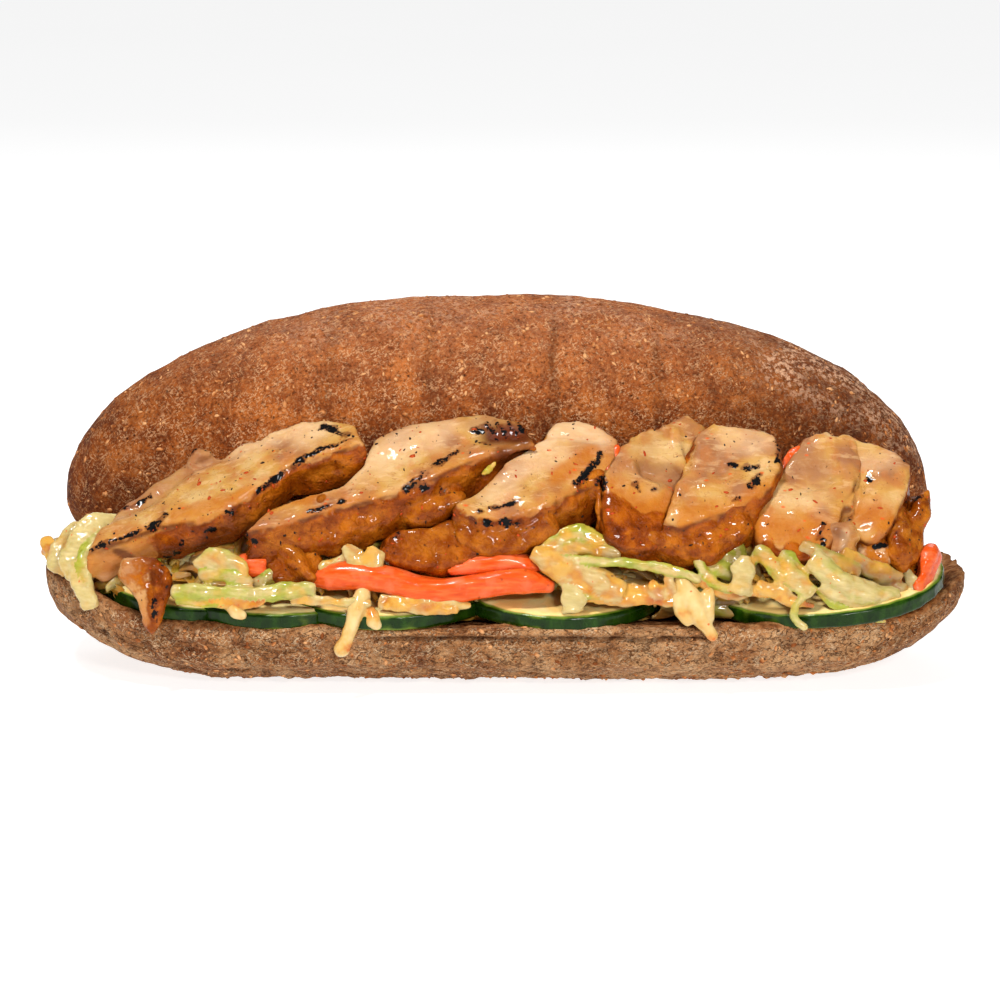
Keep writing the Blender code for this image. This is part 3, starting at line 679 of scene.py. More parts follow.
# Soft stains: layer, half width, strength, places on the cut plane.
STAINS = {
    "chicken_slice_1": (
        ("rosy", 4.0, 0.8, ((-26.5, 3.0), (-16.7, 4.6), (-6.4, 10.7), (2.0, 10.7))),
        ("flesh", 7.0, 1.0, ((-34.0, -6.0, -4.0), (-23.0, -8.0, -5.0))),
        ("rosy", 2.4, 0.9, ((-30.0, -5.0, -3.0), (-26.0, -6.0, -5.0), (-20.0, -7.0, -4.0))),
        ("pale", 1.8, 0.8, ((-31.0, -7.0, -7.0), (-27.0, -8.0, -8.0))),
        ("toast", 0.6, 0.8, ((-27.0, -6.0, -2.4), (-24.0, -7.0, -4.4), (-22.0, -8.0, -7.0))),
        ("amber", 3.0, 0.7, ((-30.0, -8.0, -8.0), (-22.0, -9.0, -8.0))),
        ("pale", 3.0, 0.7, ((-4.0, -9.0, -4.0), (6.0, -8.0, -4.0))),
        ("pale", 2.6, 0.7, ((16.0, -6.0, -4.0), (24.0, -5.0, -4.0))),
        ("pale", 5.0, 0.8, ((6.0, 9.0), (18.0, 9.0), (20.0, 4.0))),
        ("amber", 2.2, 0.8, ((-12.0, -4.4), (-2.0, -7.4), (4.0, -6.2))),
        ("toast", 3.0, 0.7, ((-16.0, -7.0, -7.0), (-8.0, -10.0, -6.0), (-1.0, -10.0, -4.0))),
    ),
    "chicken_slice_2": (
        ("rosy", 2.4, 0.8, ((20.0, 4.0), (26.0, 4.0))),
        ("toast", 3.4, 1.0, ((22.6, -1.4), (26.0, -2.0), (28.6, -3.0))),
        ("toast", 2.8, 0.9, ((23.0, -5.0, -1.6), (28.0, -5.6, -2.6))),
        # Pale over the top of this slice, partly painted sheen.
        ("pale", 5.0, 0.8, ((-12.0, 3.0), (0.0, 4.0), (12.0, 6.0))),
        ("pale", 3.0, 0.7, ((-30.0, -6.0, -3.0), (-22.0, -7.0, -3.0))),
        ("pale", 3.0, 0.7, ((6.0, -9.0, -5.0), (14.0, -6.0, -4.0))),
        ("amber", 2.6, 0.9, ((-31.0, 0.0), (-25.0, 1.8), (-18.0, 0.2))),
    ),
    "chicken_slice_3": (
        # Pale over the top of this slice, partly painted sheen.
        ("pale", 4.6, 1.0, ((0.0, 4.0), (6.0, 6.0), (12.0, 3.0), (14.6, -1.0))),
        ("rosy", 2.4, 0.5, ((-14.9, 2.5), (-9.7, 2.2))),
        ("pale", 3.2, 0.7, ((-12.0, 0.0), (-4.0, 1.0), (4.0, 0.0))),
        ("pale", 3.0, 0.7, ((-8.0, -10.0, -4.0), (2.0, -12.0, -4.0))),
        ("amber", 2.0, 0.8, ((0.0, -5.0), (10.0, -3.4))),
    ),
    "chicken_slice_4": (
        ("rosy", 2.8, 1.0, ((-1.3, 1.7), (2.9, 0.4), (6.9, -2.0))),
        ("rosy", 3.0, 0.4, ((-6.0, 2.0), (2.0, 10.0))),
        ("amber", 5.0, 1.0, ((-12.0, -4.0), (-4.0, -7.0), (2.0, -8.0))),
        ("skin", 6.0, 1.0, ((-12.0, -9.0, 0.0), (-4.0, -14.0, 0.0), (4.0, -15.0, 0.0))),
    ),
    "chicken_slice_5": (
        ("rosy", 2.4, 0.8, ((-7.0, 9.0), (-3.0, 11.0))),
        ("pale", 4.0, 0.6, ((4.0, 8.0), (9.0, 6.0))),
        ("amber", 4.0, 0.9, ((-10.0, -9.0), (0.0, -10.0), (8.0, -7.0))),
    ),
    "chicken_slice_6": (
        ("rosy", 4.2, 0.8, ((-2.0, 10.0), (0.0, 6.0), (3.0, 5.0))),
        ("pale", 3.6, 0.4, ((-4.0, -1.0), (3.0, -2.0))),
        ("amber", 5.0, 1.0, ((-9.0, -8.0), (2.0, -10.0))),
        ("skin", 2.6, 0.6, ((-8.0, -14.0, -1.0), (2.0, -16.0, -1.0), (8.0, -14.0, -1.0))),
    ),
    "chicken_slice_7": (
        ("amber", 3.6, 1.0, ((-2.0, -6.0), (4.0, -6.6))),
        ("pale", 3.0, 0.5, ((-2.0, 6.0), (2.0, 7.0))),
    ),
    "chicken_flap": (
        ("flesh", 5.6, 0.82, ((-3.8, 5.0, 1.0), (-2.8, 0.0, 1.0), (-2.0, -7.0, 1.0))),
        ("amber", 9.0, 0.35, ((-4.0, 5.0, 1.0), (-3.0, 0.0, 1.0), (-2.0, -7.0, 1.0))),
        ("pale", 9.0, 0.3, ((-4.0, 3.0, 1.0), (-3.0, -3.0, 1.0))),
        ("amber", 2.2, 1.0, ((4.4, -3.0, 0.6), (3.4, -9.0, 0.6))),
        ("toast", 0.7, 0.8, ((1.2, 3.0, 1.0), (1.8, -2.0, 1.0), (1.0, -7.0, 1.0))),
    ),
    "chicken_scrap": (
        ("amber", 3.0, 1.0, ((-2.0, 0.0, 1.0), (3.0, -1.0, 1.0))),
        ("pale", 2.6, 0.9, ((1.0, 1.0, 1.0),)),
    ),
    "chicken_lobe": (
        ("amber", 5.0, 0.7, ((-4.0, 0.0, 1.0), (5.0, -2.0, 1.0))),
        ("pale", 3.6, 0.9, ((-3.0, 1.0, 1.0), (3.0, 0.0, 1.0))),
    ),
    "chicken_knob": (
        ("flesh", 9.0, 1.0, ((0.0, 0.0, 0.0),)),
        ("rosy", 5.0, 0.9, ((-1.0, 1.0, 0.0),)),
        ("pale", 1.0, 0.7, ((1.0, -1.0, 1.0), (1.6, 1.6, 1.0))),
        ("toast", 0.8, 0.5, ((-1.6, -1.6, 1.0), (0.4, -3.0, 1.0), (2.0, 0.4, 1.0), (-0.4, 2.0, 1.0))),
    ),
    "chicken_chunk": (
        ("flesh", 5.0, 0.78, ((-2.0, -1.0, 0.0), (2.0, -2.0, 0.0))),
        ("amber", 3.0, 0.6, ((0.0, -2.0, 0.0),)),
        ("pale", 3.4, 0.9, ((-1.0, 1.0, 0.0), (2.0, -1.0, 0.0))),
    ),
    "chicken_skin": (
        ("amber", 3.4, 0.9, ((0.0, 4.0, 0.6), (0.0, -4.0, 0.6))),
        ("pale", 2.6, 0.8, ((-2.0, 2.0, 0.6), (-2.0, -5.0, 0.6))),
    ),
}

# Hollows (+) and swellings (-) pressed into the cut faces: depth, half width, places.
PRESSED = {
    "chicken_slice_1": (
        (0.7, 1.6, ((-27.0, 2.2), (-14.0, 3.4), (-6.0, 8.4), (4.0, 8.0))),
        (-0.7, 2.6, ((12.0, 8.0), (19.0, 7.0))),
        (0.6, 1.4, ((9.0, 9.5), (12.6, 6.0))),
    ),
    "chicken_slice_2": (
        (0.5, 1.8, ((-30.0, 1.4), (-16.0, 2.0), (-6.0, 3.0))),
        (-0.7, 3.0, ((2.0, 5.0), (12.0, 5.0))),
        (0.6, 2.2, ((22.0, -2.0), (28.0, -3.0))),
    ),
    "chicken_slice_3": (
        (0.5, 0.9, ((2.0, 6.4), (8.0, 2.4), (13.6, -3.4))),
        (0.6, 2.0, ((-16.0, 1.6), (-10.0, 1.6))),
    ),
    "chicken_slice_4": (
        (2.4, 2.4, ((-1.3, 1.7), (2.9, 0.4), (6.9, -2.0))),
        (0.6, 1.0, ((2.0, 12.0), (6.0, 8.0), (9.0, 2.0))),
        (-1.0, 1.0, ((-3.8, 3.0), (-2.6, 0.0), (0.6, -2.2))),
    ),
    "chicken_slice_5": (
        (0.9, 1.2, ((-12.0, 1.0), (-7.0, 3.0), (-5.0, 8.0))),
        (0.6, 0.7, ((1.4, 1.6), (4.7, 0.2), (8.4, -0.6))),
        (-0.6, 2.0, ((-4.0, -2.0), (3.0, -3.4))),
    ),
    "chicken_slice_6": (
        (0.8, 0.8, ((-4.6, 3.2), (-2.4, 2.4), (1.0, 0.6), (4.6, 1.0), (7.6, 3.2))),
        (-0.9, 3.6, ((-3.6, -3.0), (2.0, -3.6))),
    ),
    "chicken_slice_7": (
        (0.7, 0.9, ((-5.0, 3.0), (-2.6, -1.0), (-3.4, -6.0))),
        (-0.5, 2.4, ((1.0, 4.0), (2.0, -4.0))),
    ),
    "chicken_flap": ((0.6, 0.9, ((0.6, 4.0, 1.0), (1.0, -2.0, 1.0), (0.0, -7.0, 1.0))),),
}
# Pieces that are skin all over, and the depth from which the side of a slice is all skin.
ALL_SKIN = ("chicken_flap", "chicken_scrap", "chicken_lobe", "chicken_skin", "chicken_chunk")
SKIN_DEPTH = 3.0
# Pieces that the filling has pushed towards the open side.
SHIFTS = {"chicken_slice_7": (0.0, -2.4, 0.0)}


def on_plane(line):
    """Places on a cut plane, each with its height over the plane filled in."""
    return [tuple(place) + (0.0,) * (3 - len(place)) for place in line]


def cut_face_tone(look, broad, patch):
    """The cut face of the meat: fibres, the lines where they part, stains, pepper and chilli."""
    rosy, pale, amber = look.painted("rosy"), look.painted("pale"), look.painted("amber")
    wisp = look.noise(1.3, 3, 0.55, look.turned((0, 12, 12), (4.5, 1, 1)), 0.6)
    stops = (0.38, (158, 104, 66)), (0.46, (180, 122, 64)), (0.54, (194, 144, 72)), (0.63, (202, 162, 102))
    face = look.ramp(broad, *stops)
    face = look.mix(look.band(wisp, 0.5, 0.68, 0, 0.45), face, (220, 178, 126))
    face = look.mix(look.band(patch, 0.48, 0.34, 0, 0.45), face, (188, 112, 56))
    fibre_way = look.turned((0, 12, 12), (3, 1, 1), (9, 2, 5))
    partings = look.lines(look.noise(2.6, 3, 0.6, fibre_way, 0.4), 0.016, 0.002)
    face = look.mix(look.times(partings, look.band(patch, 0.4, 0.6, 0.1, 0.5)), face, (150, 82, 34))
    face = look.mix(look.times(rosy, 0.8), face, look.mix(patch, (140, 88, 52), (182, 130, 86)))
    face = look.mix(look.times(pale, 0.85), face, look.mix(wisp, (208, 158, 108), (228, 196, 154)))
    face = look.mix(look.times(amber, 0.85), face, look.mix(patch, (160, 74, 6), (204, 124, 28)))
    pepper = speckle(look, 1.3, 0.12, 0.13, look.warped(0.8, 0.4, (5, 3, 8)), 0.08)
    face = look.mix(look.times(pepper, 0.8), face, (62, 26, 12))
    flecks = speckle(look, 2.2, 0.3, 0.12, look.turned((0, 15, 15), (2.4, 1, 1)), 0.05)
    face = look.mix(look.times(flecks, 0.75), face, (214, 84, 22))
    return face


def chicken_skin_tone(look, broad, patch):
    """Grilled skin: amber to mahogany, golden in places, with scorched spots."""
    rosy, pale, amber = look.painted("rosy"), look.painted("pale"), look.painted("amber")
    other = look.noise(5, 3, 0.5, look.turned((0, 0, 0), (1, 1, 1), (40, 9, 3)))
    stops = (0.36, (84, 28, 2)), (0.46, (112, 44, 2)), (0.54, (140, 62, 3)), (0.64, (176, 92, 8))
    skin = look.ramp(patch, *stops)
    skin = look.mix(look.band(broad, 0.5, 0.34, 0, 0.55), skin, (92, 34, 4))
    skin = look.mix(look.band(other, 0.54, 0.7, 0, 0.4), skin, (112, 50, 22))
    golden = look.mix(look.band(patch, 0.36, 0.62), (128, 58, 4), (186, 112, 26))
    skin = look.mix(look.times(pale, 0.85), skin, golden)
    skin = look.mix(look.times(rosy, 0.75), skin, look.mix(patch, (136, 72, 36), (180, 112, 66)))
    skin = look.mix(look.times(amber, 0.6), skin, look.mix(patch, (126, 48, 2), (184, 92, 8)))
    scorch = speckle(look, 1.6, 0.2, 0.2, look.warped(1.1, 0.9), 0.1)
    skin = look.mix(look.times(scorch, 0.8), skin, (60, 18, 10))
    return skin


def meat_finish():
    """Grilled thigh: pale moist cut faces, glossy amber skin, and char where it met the bars."""
    look = Finish("grilled_chicken", Coat_Weight=0.18, Coat_Roughness=0.05, Specular_IOR_Level=0.06)
    look.lets_light_in(0.16, (1.0, 0.6, 0.2), 2.0)
    broad = look.noise(9, 2, 0.5)
    patch = look.noise(3.4, 3, 0.55)
    fine = look.noise(0.9, 4, 0.6)
    face, skin = cut_face_tone(look, broad, patch), chicken_skin_tone(look, broad, patch)

    # Face and skin meet at the edge of the cut; then toasting and char over both.
    depth = look.plus(look.painted("deep"), look.band(patch, 0.3, 0.7, -0.5, 0.5))
    colour = look.mix(look.band(depth, 0.4, 1.1), face, skin)
    colour = look.mix(look.painted("toast"), colour, look.mix(patch, (66, 24, 6), (112, 52, 16)))
    char = look.painted("char")
    burnt = look.plus(char, look.band(look.noise(0.6, 3, 0.6), 0.36, 0.64, -0.42, 0.3))
    burnt = look.plus(burnt, look.band(look.noise(2.4, 2, 0.5), 0.36, 0.6, -0.5, 0.2))
    burnt = look.times(burnt, look.band(char, 0.04, 0.3))
    singed = look.band(char, 0.0, 0.7)
    colour = look.mix(look.times(singed, 0.7), colour, (98, 36, 6))
    black = look.band(burnt, 0.5, 0.62)
    # Char is black, with brownish flecks that are painted sheen.
    colour = look.mix(black, colour, look.mix(look.band(fine, 0.6, 0.72), (6, 5, 5), (30, 18, 14)))

    height = look.plus(look.times(fine, 0.6), patch)
    wrinkles = look.times(look.noise(1.5, 2, 0.5, None, 1.0), look.band(depth, 0.6, 2.0))
    height = look.plus(height, look.times(wrinkles, 2.2))
    normal = look.bump(height, 0.4, 0.8)
    rough = look.plus(look.band(patch, 0.3, 0.7, 0.22, 0.4), look.times(black, 0.3))
    return look.done(colour, rough, normal)


# Points drawn up at the ragged tops of some pieces: place, how far up, radius.
SPIKES = {
    "chicken_slice_4": (
        ((29.0, -18.6, 54.6), 2.0, 1.5), ((33.6, -15.0, 57.4), 3.0, 1.4), ((37.6, -13.4, 58.6), 3.4, 1.6),
    ),
    "chicken_slice_5": (((44.6, -14.0, 57.6), 3.0, 1.6), ((48.6, -14.0, 57.6), 1.6, 1.3)),
    "chicken_slice_2": (((5.0, -14.0, 57.4), 1.4, 1.4),),
    "chicken_skin": (((91.4, -18.6, 40.4), 2.0, 1.6),),
}

# Lobes of skin and meat that hang from a piece or bridge it to the next: what they are, then
# places and radii.
LOBES = {
    "chicken_slice_1": (
        ("flesh", ((-66.0, -12.8, 46.0, 1.8), (-64.6, -12.0, 47.8, 2.2), (-62.8, -12.2, 47.6, 1.8))),
    ),
    "chicken_slice_2": (
        ("skin", (
            (-37.0, -27.2, 38.0, 3.0), (-37.0, -28.0, 33.6, 3.5), (-33.4, -27.6, 31.4, 3.3),
            (-29.6, -27.2, 33.4, 3.5), (-26.8, -26.8, 37.0, 3.0), (-32.0, -27.2, 35.6, 3.7),
        )),
        ("skin", ((-18.0, -26.8, 37.4, 2.6), (-14.0, -26.4, 39.0, 2.8), (-9.6, -25.6, 41.0, 2.6))),
    ),
    "chicken_slice_3": (
        ("skin", (
            (-7.0, -30.4, 34.8, 2.8), (-1.4, -31.4, 33.2, 3.4), (4.0, -31.4, 33.8, 3.4),
            (9.4, -30.4, 36.2, 2.9),
        )),
        ("skin", (
            (20.4, -26.6, 43.6, 0.9), (20.6, -28.0, 39.6, 1.0), (20.8, -27.8, 35.6, 1.0),
            (21.0, -26.0, 32.6, 0.8),
        )),
    ),
    "chicken_slice_4": (
        ("flesh", (
            (36.6, -17.2, 53.2, 2.0), (37.0, -19.0, 50.0, 2.4), (38.0, -21.0, 46.6, 2.2),
            (39.0, -23.0, 43.4, 2.0), (38.6, -25.0, 41.0, 1.6),
        )),
    ),
    "chicken_scrap": (
        ("skin", (
            (-47.4, -28.4, 33.0, 2.0), (-44.8, -30.6, 30.8, 2.5), (-42.2, -32.2, 28.4, 2.4),
            (-39.8, -33.4, 26.2, 1.6),
        )),
        ("skin", ((-46.4, -30.0, 30.8, 1.6), (-44.0, -31.6, 28.4, 1.8), (-42.0, -32.8, 26.6, 1.4))),
    ),
    "chicken_slice_5": (
        ("skin", (
            (32.4, -30.4, 33.0, 2.8), (37.6, -30.8, 31.4, 3.6), (43.0, -30.6, 31.4, 3.8),
            (47.6, -29.2, 33.6, 3.4), (49.6, -28.0, 36.4, 2.8),
        )),
    ),
    "chicken_slice_6": (
        ("flesh", (
            (73.2, -15.6, 50.6, 2.6), (73.2, -18.7, 46.6, 2.9), (73.2, -21.5, 42.2, 3.0),
            (73.2, -24.0, 38.4, 2.4),
        )),
    ),
    "chicken_knob": (
        ("flesh", (
            (69.4, -27.6, 35.6, 1.7), (71.0, -28.8, 34.6, 2.1), (73.0, -28.4, 35.4, 1.9),
            (74.4, -28.2, 33.4, 1.6),
        )),
        ("flesh", (
            (70.0, -28.8, 32.0, 1.7), (71.8, -29.6, 31.8, 2.0), (73.4, -29.0, 30.6, 1.8),
            (71.2, -28.8, 29.6, 1.6),
        )),
    ),
    "chicken_skin": (
        ("skin", (
            (84.2, -21.6, 37.6, 2.2), (84.0, -24.0, 33.4, 2.8), (83.6, -26.0, 29.4, 3.0),
            (84.4, -26.6, 26.6, 2.2),
        )),
        ("skin", (
            (89.6, -18.4, 39.4, 1.8), (88.6, -20.8, 35.6, 2.6), (87.4, -23.6, 31.4, 2.9),
            (86.6, -25.0, 28.0, 2.2),
        )),
    ),
}


def meat_relief(node, p, own, deep):
    """How far out each place on a piece is moved, and how much char lies there."""
    side = ease(0.6, 2.2, deep)
    lift = 0.7 * grain(p, 9, 21) + 0.3 * grain(p, 3.6, 22) + 0.06 * grain(p, 1.3, 23)
    lift += side * (grain(p, 5.6, 24) + 0.3 * grain(p, 2.2, 25))
    ragged_edge = ease(0.2, 0.9, deep) * ease(2.4, 1.2, deep)
    torn_top = ragged_edge * ease(3, 8, own[:, 1])
    lift += 0.4 * ragged_edge * grain(p, 1.8, 26) + torn_top * grain(p, 2.4, 31)
    for depth, width, line in PRESSED.get(node, ()):
        lift -= depth * ease(width * 1.5, 0, near_line(own, on_plane(line)))
    char = np.zeros(len(p))
    for width, line in CHAR.get(node, ()):
        gap = near_line(own, on_plane(line)) + 0.75 * grain(p, 1.9, 27) + 0.4 * grain(p, 0.8, 28)
        char = np.maximum(char, ease(width * 0.85 + 0.55, width * 0.15, gap))
    return lift + char * (0.06 + 0.2 * grain(p, 0.9, 29)), char


def meat_layers(node, p, own, deep):
    """The stains on a piece, and how deep each place lies under the cut face."""
    layers = {layer: np.zeros(len(p)) for layer in ("rosy", "pale", "toast", "skin", "flesh")}
    layers["amber"] = 0.6 * edge_glow(p, deep) * ease(3.0, -5.0, own[:, 1])
    if node.startswith("chicken_slice"):
        seam = ease(0.15, 0.6, deep) * ease(1.6, 0.8, deep) * ease(6, 0, own[:, 1])
        layers["toast"] += 0.85 * seam * ease(-0.3, 0.25, grain(p, 2.6, 33))
    for layer, width, strength, line in STAINS.get(node, ()):
        gap = near_line(own, on_plane(line)) + 1.2 * grain(p, 4.0, 30)
        layers[layer] = np.maximum(layers[layer], strength * ease(width * 1.4, width * 0.3, gap))
    for layer, places in LOBES.get(node, ()):
        gap = near_line(p, [place[:3] for place in places]) + 1.2 * grain(p, 3.0, 32)
        layers[layer] = np.maximum(layers[layer], ease(4.6, 3.2, gap))
        if layer == "skin":
            layers["pale"] = np.maximum(layers["pale"], 0.75 * ease(5.0, 2.6, gap))
    layers["deep"] = np.maximum(deep, SKIN_DEPTH * layers.pop("skin")) * (1 - layers.pop("flesh"))
    return layers


def make_meat(node, finish):
    """One piece of chicken with its cut face, skin and char; returns its places and normals."""
    name = node.replace("chicken_", "meat_")
    lobes = [blob_chain("lobe", places) for _, places in LOBES.get(node, ())]
    piece = join(name, [copy_of(node, name), *lobes])
    remake(piece, MEAT_GRAIN, 8)
    place, angles = CUTS[node]
    p, n = points_of(piece), normals_of(piece)
    own = (p - np.array(place)) @ turn_of(*angles)
    deep = np.maximum(-own[:, 2], 0)
    if node in ALL_SKIN:
        deep = np.maximum(deep, SKIN_DEPTH)

    lift, char = meat_relief(node, p, own, deep)
    moved = p + n * lift[:, None]
    for top, height, radius in SPIKES.get(node, ()):
        gap = np.linalg.norm(p - np.array(top), axis=1)
        moved[:, 2] += height * np.clip(1 - gap / (radius * 1.6), 0, 1) ** 1.5
    set_points(piece, moved + SHIFTS.get(node, (0.0, 0.0, 0.0)))
    for layer, values in meat_layers(node, p, own, deep).items():
        paint(piece, layer, values)
    paint(piece, "char", char)
    piece.data.materials.append(finish)
    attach(piece, "root")
    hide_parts(node)
    return points_of(piece), normals_of(piece)


def seasoning_finish(name, dark, light):
    """Ground pepper or chilli, moist and slightly glossy."""
    look = Finish(name, Specular_IOR_Level=0.2)
    colour = look.mix(look.noise(1.5, 2), dark, light)
    rough = look.band(look.noise(0.4, 1), 0.3, 0.7, 0.35, 0.6)
    return look.done(colour, rough, look.bump(look.noise(0.3, 2), 0.08, 0.5))


def make_seasoning(places, normals):
    """Pepper and chilli on the chicken where it looks up or out."""
    seen = np.flatnonzero((normals[:, 1] < 0.1) & (normals[:, 2] > -0.3))
    pepper = seasoning_finish("pepper", (14, 8, 5), (44, 22, 10))
    chilli = seasoning_finish("chilli", (150, 34, 4), (206, 84, 20))
    strew("pepper_grains", pepper, places[seen], normals[seen])
    strew("chilli_flakes", chilli, places[seen], normals[seen])


def edge_glow(points, deep):
    """1 on a cut face right beside the skin, 0 from a few millimetres in."""
    skin_places = np.flatnonzero(deep > 0.9)[::3]
    if not len(skin_places):
        return np.zeros(len(points))
    tree = tree_of(points[skin_places].tolist())
    gaps = np.array([tree.find(place)[2] for place in points.tolist()])
    return ease(3.6, 0.4, gaps)


def blob_chain(name, places):
    """Balls strung closely along a line of places and radii, joined into one object."""
    balls = []
    knots = np.array(places, float)
    for start, end in zip(knots[:-1], knots[1:]):
        spacing = BALL_SPACING * min(start[3], end[3])
        count = max(2, int(np.linalg.norm(end[:3] - start[:3]) / spacing) + 1)
        for share in np.linspace(0, 1, count):
            x, y, z, radius = start + (end - start) * share
            bpy.ops.object.select_all(action="DESELECT")
            middle = (x * MM, y * MM, z * MM)
            bpy.ops.mesh.primitive_ico_sphere_add(subdivisions=2, radius=radius * MM, location=middle)
            balls.append(bpy.context.active_object)
    chain = join(name, balls)
    only(chain)
    bpy.ops.object.transform_apply(location=True, rotation=True, scale=True)
    return chain


# ---------------------------------------------------------------- cucumber and carrot

# Middle of the lower face, radius, then lean and rise in degrees.
CUCUMBERS = {
    "cucumber_slice_1": ((-64.7, -8.5, 18.3), 22.0, (3, -4)),
    "cucumber_slice_2": ((-47.2, -11.5, 16.9), 23.0, (0, 0)),
    "cucumber_slice_3": ((-24.4, -12.4, 17.0), 24.0, (0, 0)),
    "cucumber_slice_4": ((14.6, -14.2, 17.2), 22.0, (1, -1)),
    "cucumber_slice_5": ((69.1, -10.0, 17.3), 24.6, (2, 5)),
}
CARROTS = ("carrot_strip_long", "carrot_strip_upper", "carrot_chunk", "carrot_wedge")
# How a slice has settled: degrees its cut face tips towards the open side, the share of its depth
# that is left, how far it has slid along the roll, and how far it has dropped.
USUAL_LIE = {"tip": 9.0, "depth": 1.0, "slide": 0.0, "drop": 1.9}
OTHER_LIES = {
    "cucumber_slice_4": {"slide": -2.2},
    "cucumber_slice_5": {"tip": 13.0, "depth": 0.72, "drop": 1.2},
}
SLICE_FORWARD = 0.7
SLICE_STRETCH = (1.06, 1.0, 0.8)
SEED_COUNT = 18


def cucumber_finish():
    """Dark green skin with faint paler streaks round pale, wet, seeded flesh."""
    look = Finish("cucumber", Coat_Weight=0.12, Coat_Roughness=0.12, Specular_IOR_Level=0.15)
    look.lets_light_in(0.1, (0.8, 1.0, 0.4), 1.2)
    streak = look.noise(3.2, 4, 0.6, look.turned((0, 0, 0), (1, 1, 2.5)))
    patch = look.noise(6, 4, 0.6)
    skin = look.ramp(streak, (0.32, (10, 32, 0)), (0.52, (20, 48, 0)), (0.72, (38, 72, 4)))
    skin = look.mix(look.band(patch, 0.56, 0.72, 0, 0.4), skin, (52, 86, 8))
    flesh = look.mix(look.noise(1.8, 4, 0.6), (234, 208, 128), (246, 230, 166))
    flesh = look.mix(look.band(patch, 0.42, 0.56, 0, 0.7), flesh, (250, 200, 112))
    seeds = look.times(look.painted("seeds"), 0.8)
    flesh = look.mix(seeds, flesh, (232, 222, 172))
    green = look.mix(look.noise(0.8, 3), (70, 98, 14), (118, 138, 40))
    rim = look.painted("rim")
    colour = look.mix(look.band(rim, 0.945, 0.97), flesh, green)
    colour = look.mix(look.band(rim, 0.972, 0.984), colour, skin)
    normal = look.bump(look.plus(streak, seeds), 0.25, 0.3)
    rough = look.band(patch, 0.3, 0.7, 0.2, 0.36)
    return look.done(colour, rough, normal)


def make_cucumber(node, finish):
    """One slice, seeded on top, thinned and tipped towards the open side."""
    piece = copy_of(node, node.replace("_slice", ""))
    remake(piece, CUCUMBER_GRAIN, 3)
    middle, radius, angles = CUCUMBERS[node]
    middle = np.array(middle)
    turn = turn_of(*angles)
    p, n = points_of(piece), normals_of(piece)
    own = (p - middle) @ turn
    reach = np.hypot(own[:, 0], own[:, 1])
    angle = np.arctan2(own[:, 1], own[:, 0])
    lift = 0.25 * grain(p, 9, 41) + 0.05 * grain(p, 1.8, 42)
    lift += 0.35 * ease(0.9, 1.0, reach / radius) * ease(2.0, 0.0, own[:, 2])
    seed_wave = 0.5 + 0.5 * np.cos(angle * SEED_COUNT + 2.0 * grain(p, 5, 43))
    seeds = ease(0.55, 0.9, seed_wave) * ease(0.2, 0.34, reach / radius) * ease(0.62, 0.5, reach / radius)
    lift += 0.16 * seeds * ease(0.5, 0.9, n[:, 2])
    moved = p + n * lift[:, None]
    lie = {**USUAL_LIE, **OTHER_LIES.get(node, {})}
    local = (moved - middle) @ turn * SLICE_STRETCH
    local[:, 1] = (local[:, 1] + radius) * lie["depth"] - radius
    moved = local @ turn.T + middle
    hinge = middle - (0, radius, 0)
    shift = (lie["slide"], -SLICE_FORWARD, -lie["drop"])
    set_points(piece, (moved - hinge) @ turn_of(lie["tip"]).T + hinge + shift)
    paint(piece, "rim", reach / radius + 0.006 * grain(p, 2, 44))
    paint(piece, "seeds", seeds)
    piece.data.materials.append(finish)
    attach(piece, "root")
    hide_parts(node)


# The wedge of carrot at the right: how far it has moved out, the height that it stands on, and how
# wide it is at the foot and at the top, as shares of its solid.
WEDGE_SHIFT = (-1.2, -4.2, -0.4)
WEDGE_FOOT = 19.2
WEDGE_WIDTHS = (0.75, 1.3)
WEDGE_RISE = (20.0, 31.0)


def carrot_finish():
    """Wet raw carrot: coral orange with fine paler grain along each strip."""
    look = Finish("carrot", Coat_Weight=0.25, Coat_Roughness=0.08, Specular_IOR_Level=0.15)
    look.lets_light_in(0.12, (1.0, 0.4, 0.1), 1.5)
    along = look.noise(0.8, 3, 0.5, look.turned((0, 0, 0), (6, 1, 1)))
    patch = look.noise(5, 3, 0.5)
    colour = look.ramp(along, (0.3, (208, 70, 12)), (0.5, (222, 84, 24)), (0.7, (230, 104, 42)))
    colour = look.mix(look.band(patch, 0.46, 0.66, 0, 0.55), colour, (240, 122, 78))
    dots = speckle(look, 2.4, 0.2, 0.1, look.warped(0.7, 0.3))
    colour = look.mix(look.times(dots, 0.7), colour, (120, 34, 10))
    normal = look.bump(look.plus(along, patch), 0.35, 0.5)
    rough = look.band(patch, 0.3, 0.7, 0.18, 0.34)
    return look.done(colour, rough, normal)


def make_carrot(node, finish):
    """One strip of carrot, unevenly cut and a little bowed."""
    piece = copy_of(node, node)
    remake(piece, CARROT_GRAIN, 6)
    p, n = points_of(piece), normals_of(piece)
    lift = 0.45 + 0.45 * grain(p / (2.2, 1, 1), 3.4, 51) + 0.1 * grain(p / (3, 1, 1), 1.2, 52)
    moved = p + n * lift[:, None]
    moved[:, 2] += 0.9 * np.sin(p[:, 0] / 5.2 + 0.8) * (p[:, 0] > -36) * ease(20, 6, p[:, 0])
    if node == "carrot_wedge":
        middle = moved[:, 0].mean()
        narrow, wide = WEDGE_WIDTHS
        spread = narrow + (wide - narrow) * ease(*WEDGE_RISE, moved[:, 2])
        moved[:, 0] = middle + (moved[:, 0] - middle) * spread
        moved += WEDGE_SHIFT
        moved[:, 2] = np.maximum(moved[:, 2], WEDGE_FOOT)
    set_points(piece, moved)
    piece.data.materials.append(finish)
    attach(piece, "root")
    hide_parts(node)


# ---------------------------------------------------------------- cabbage

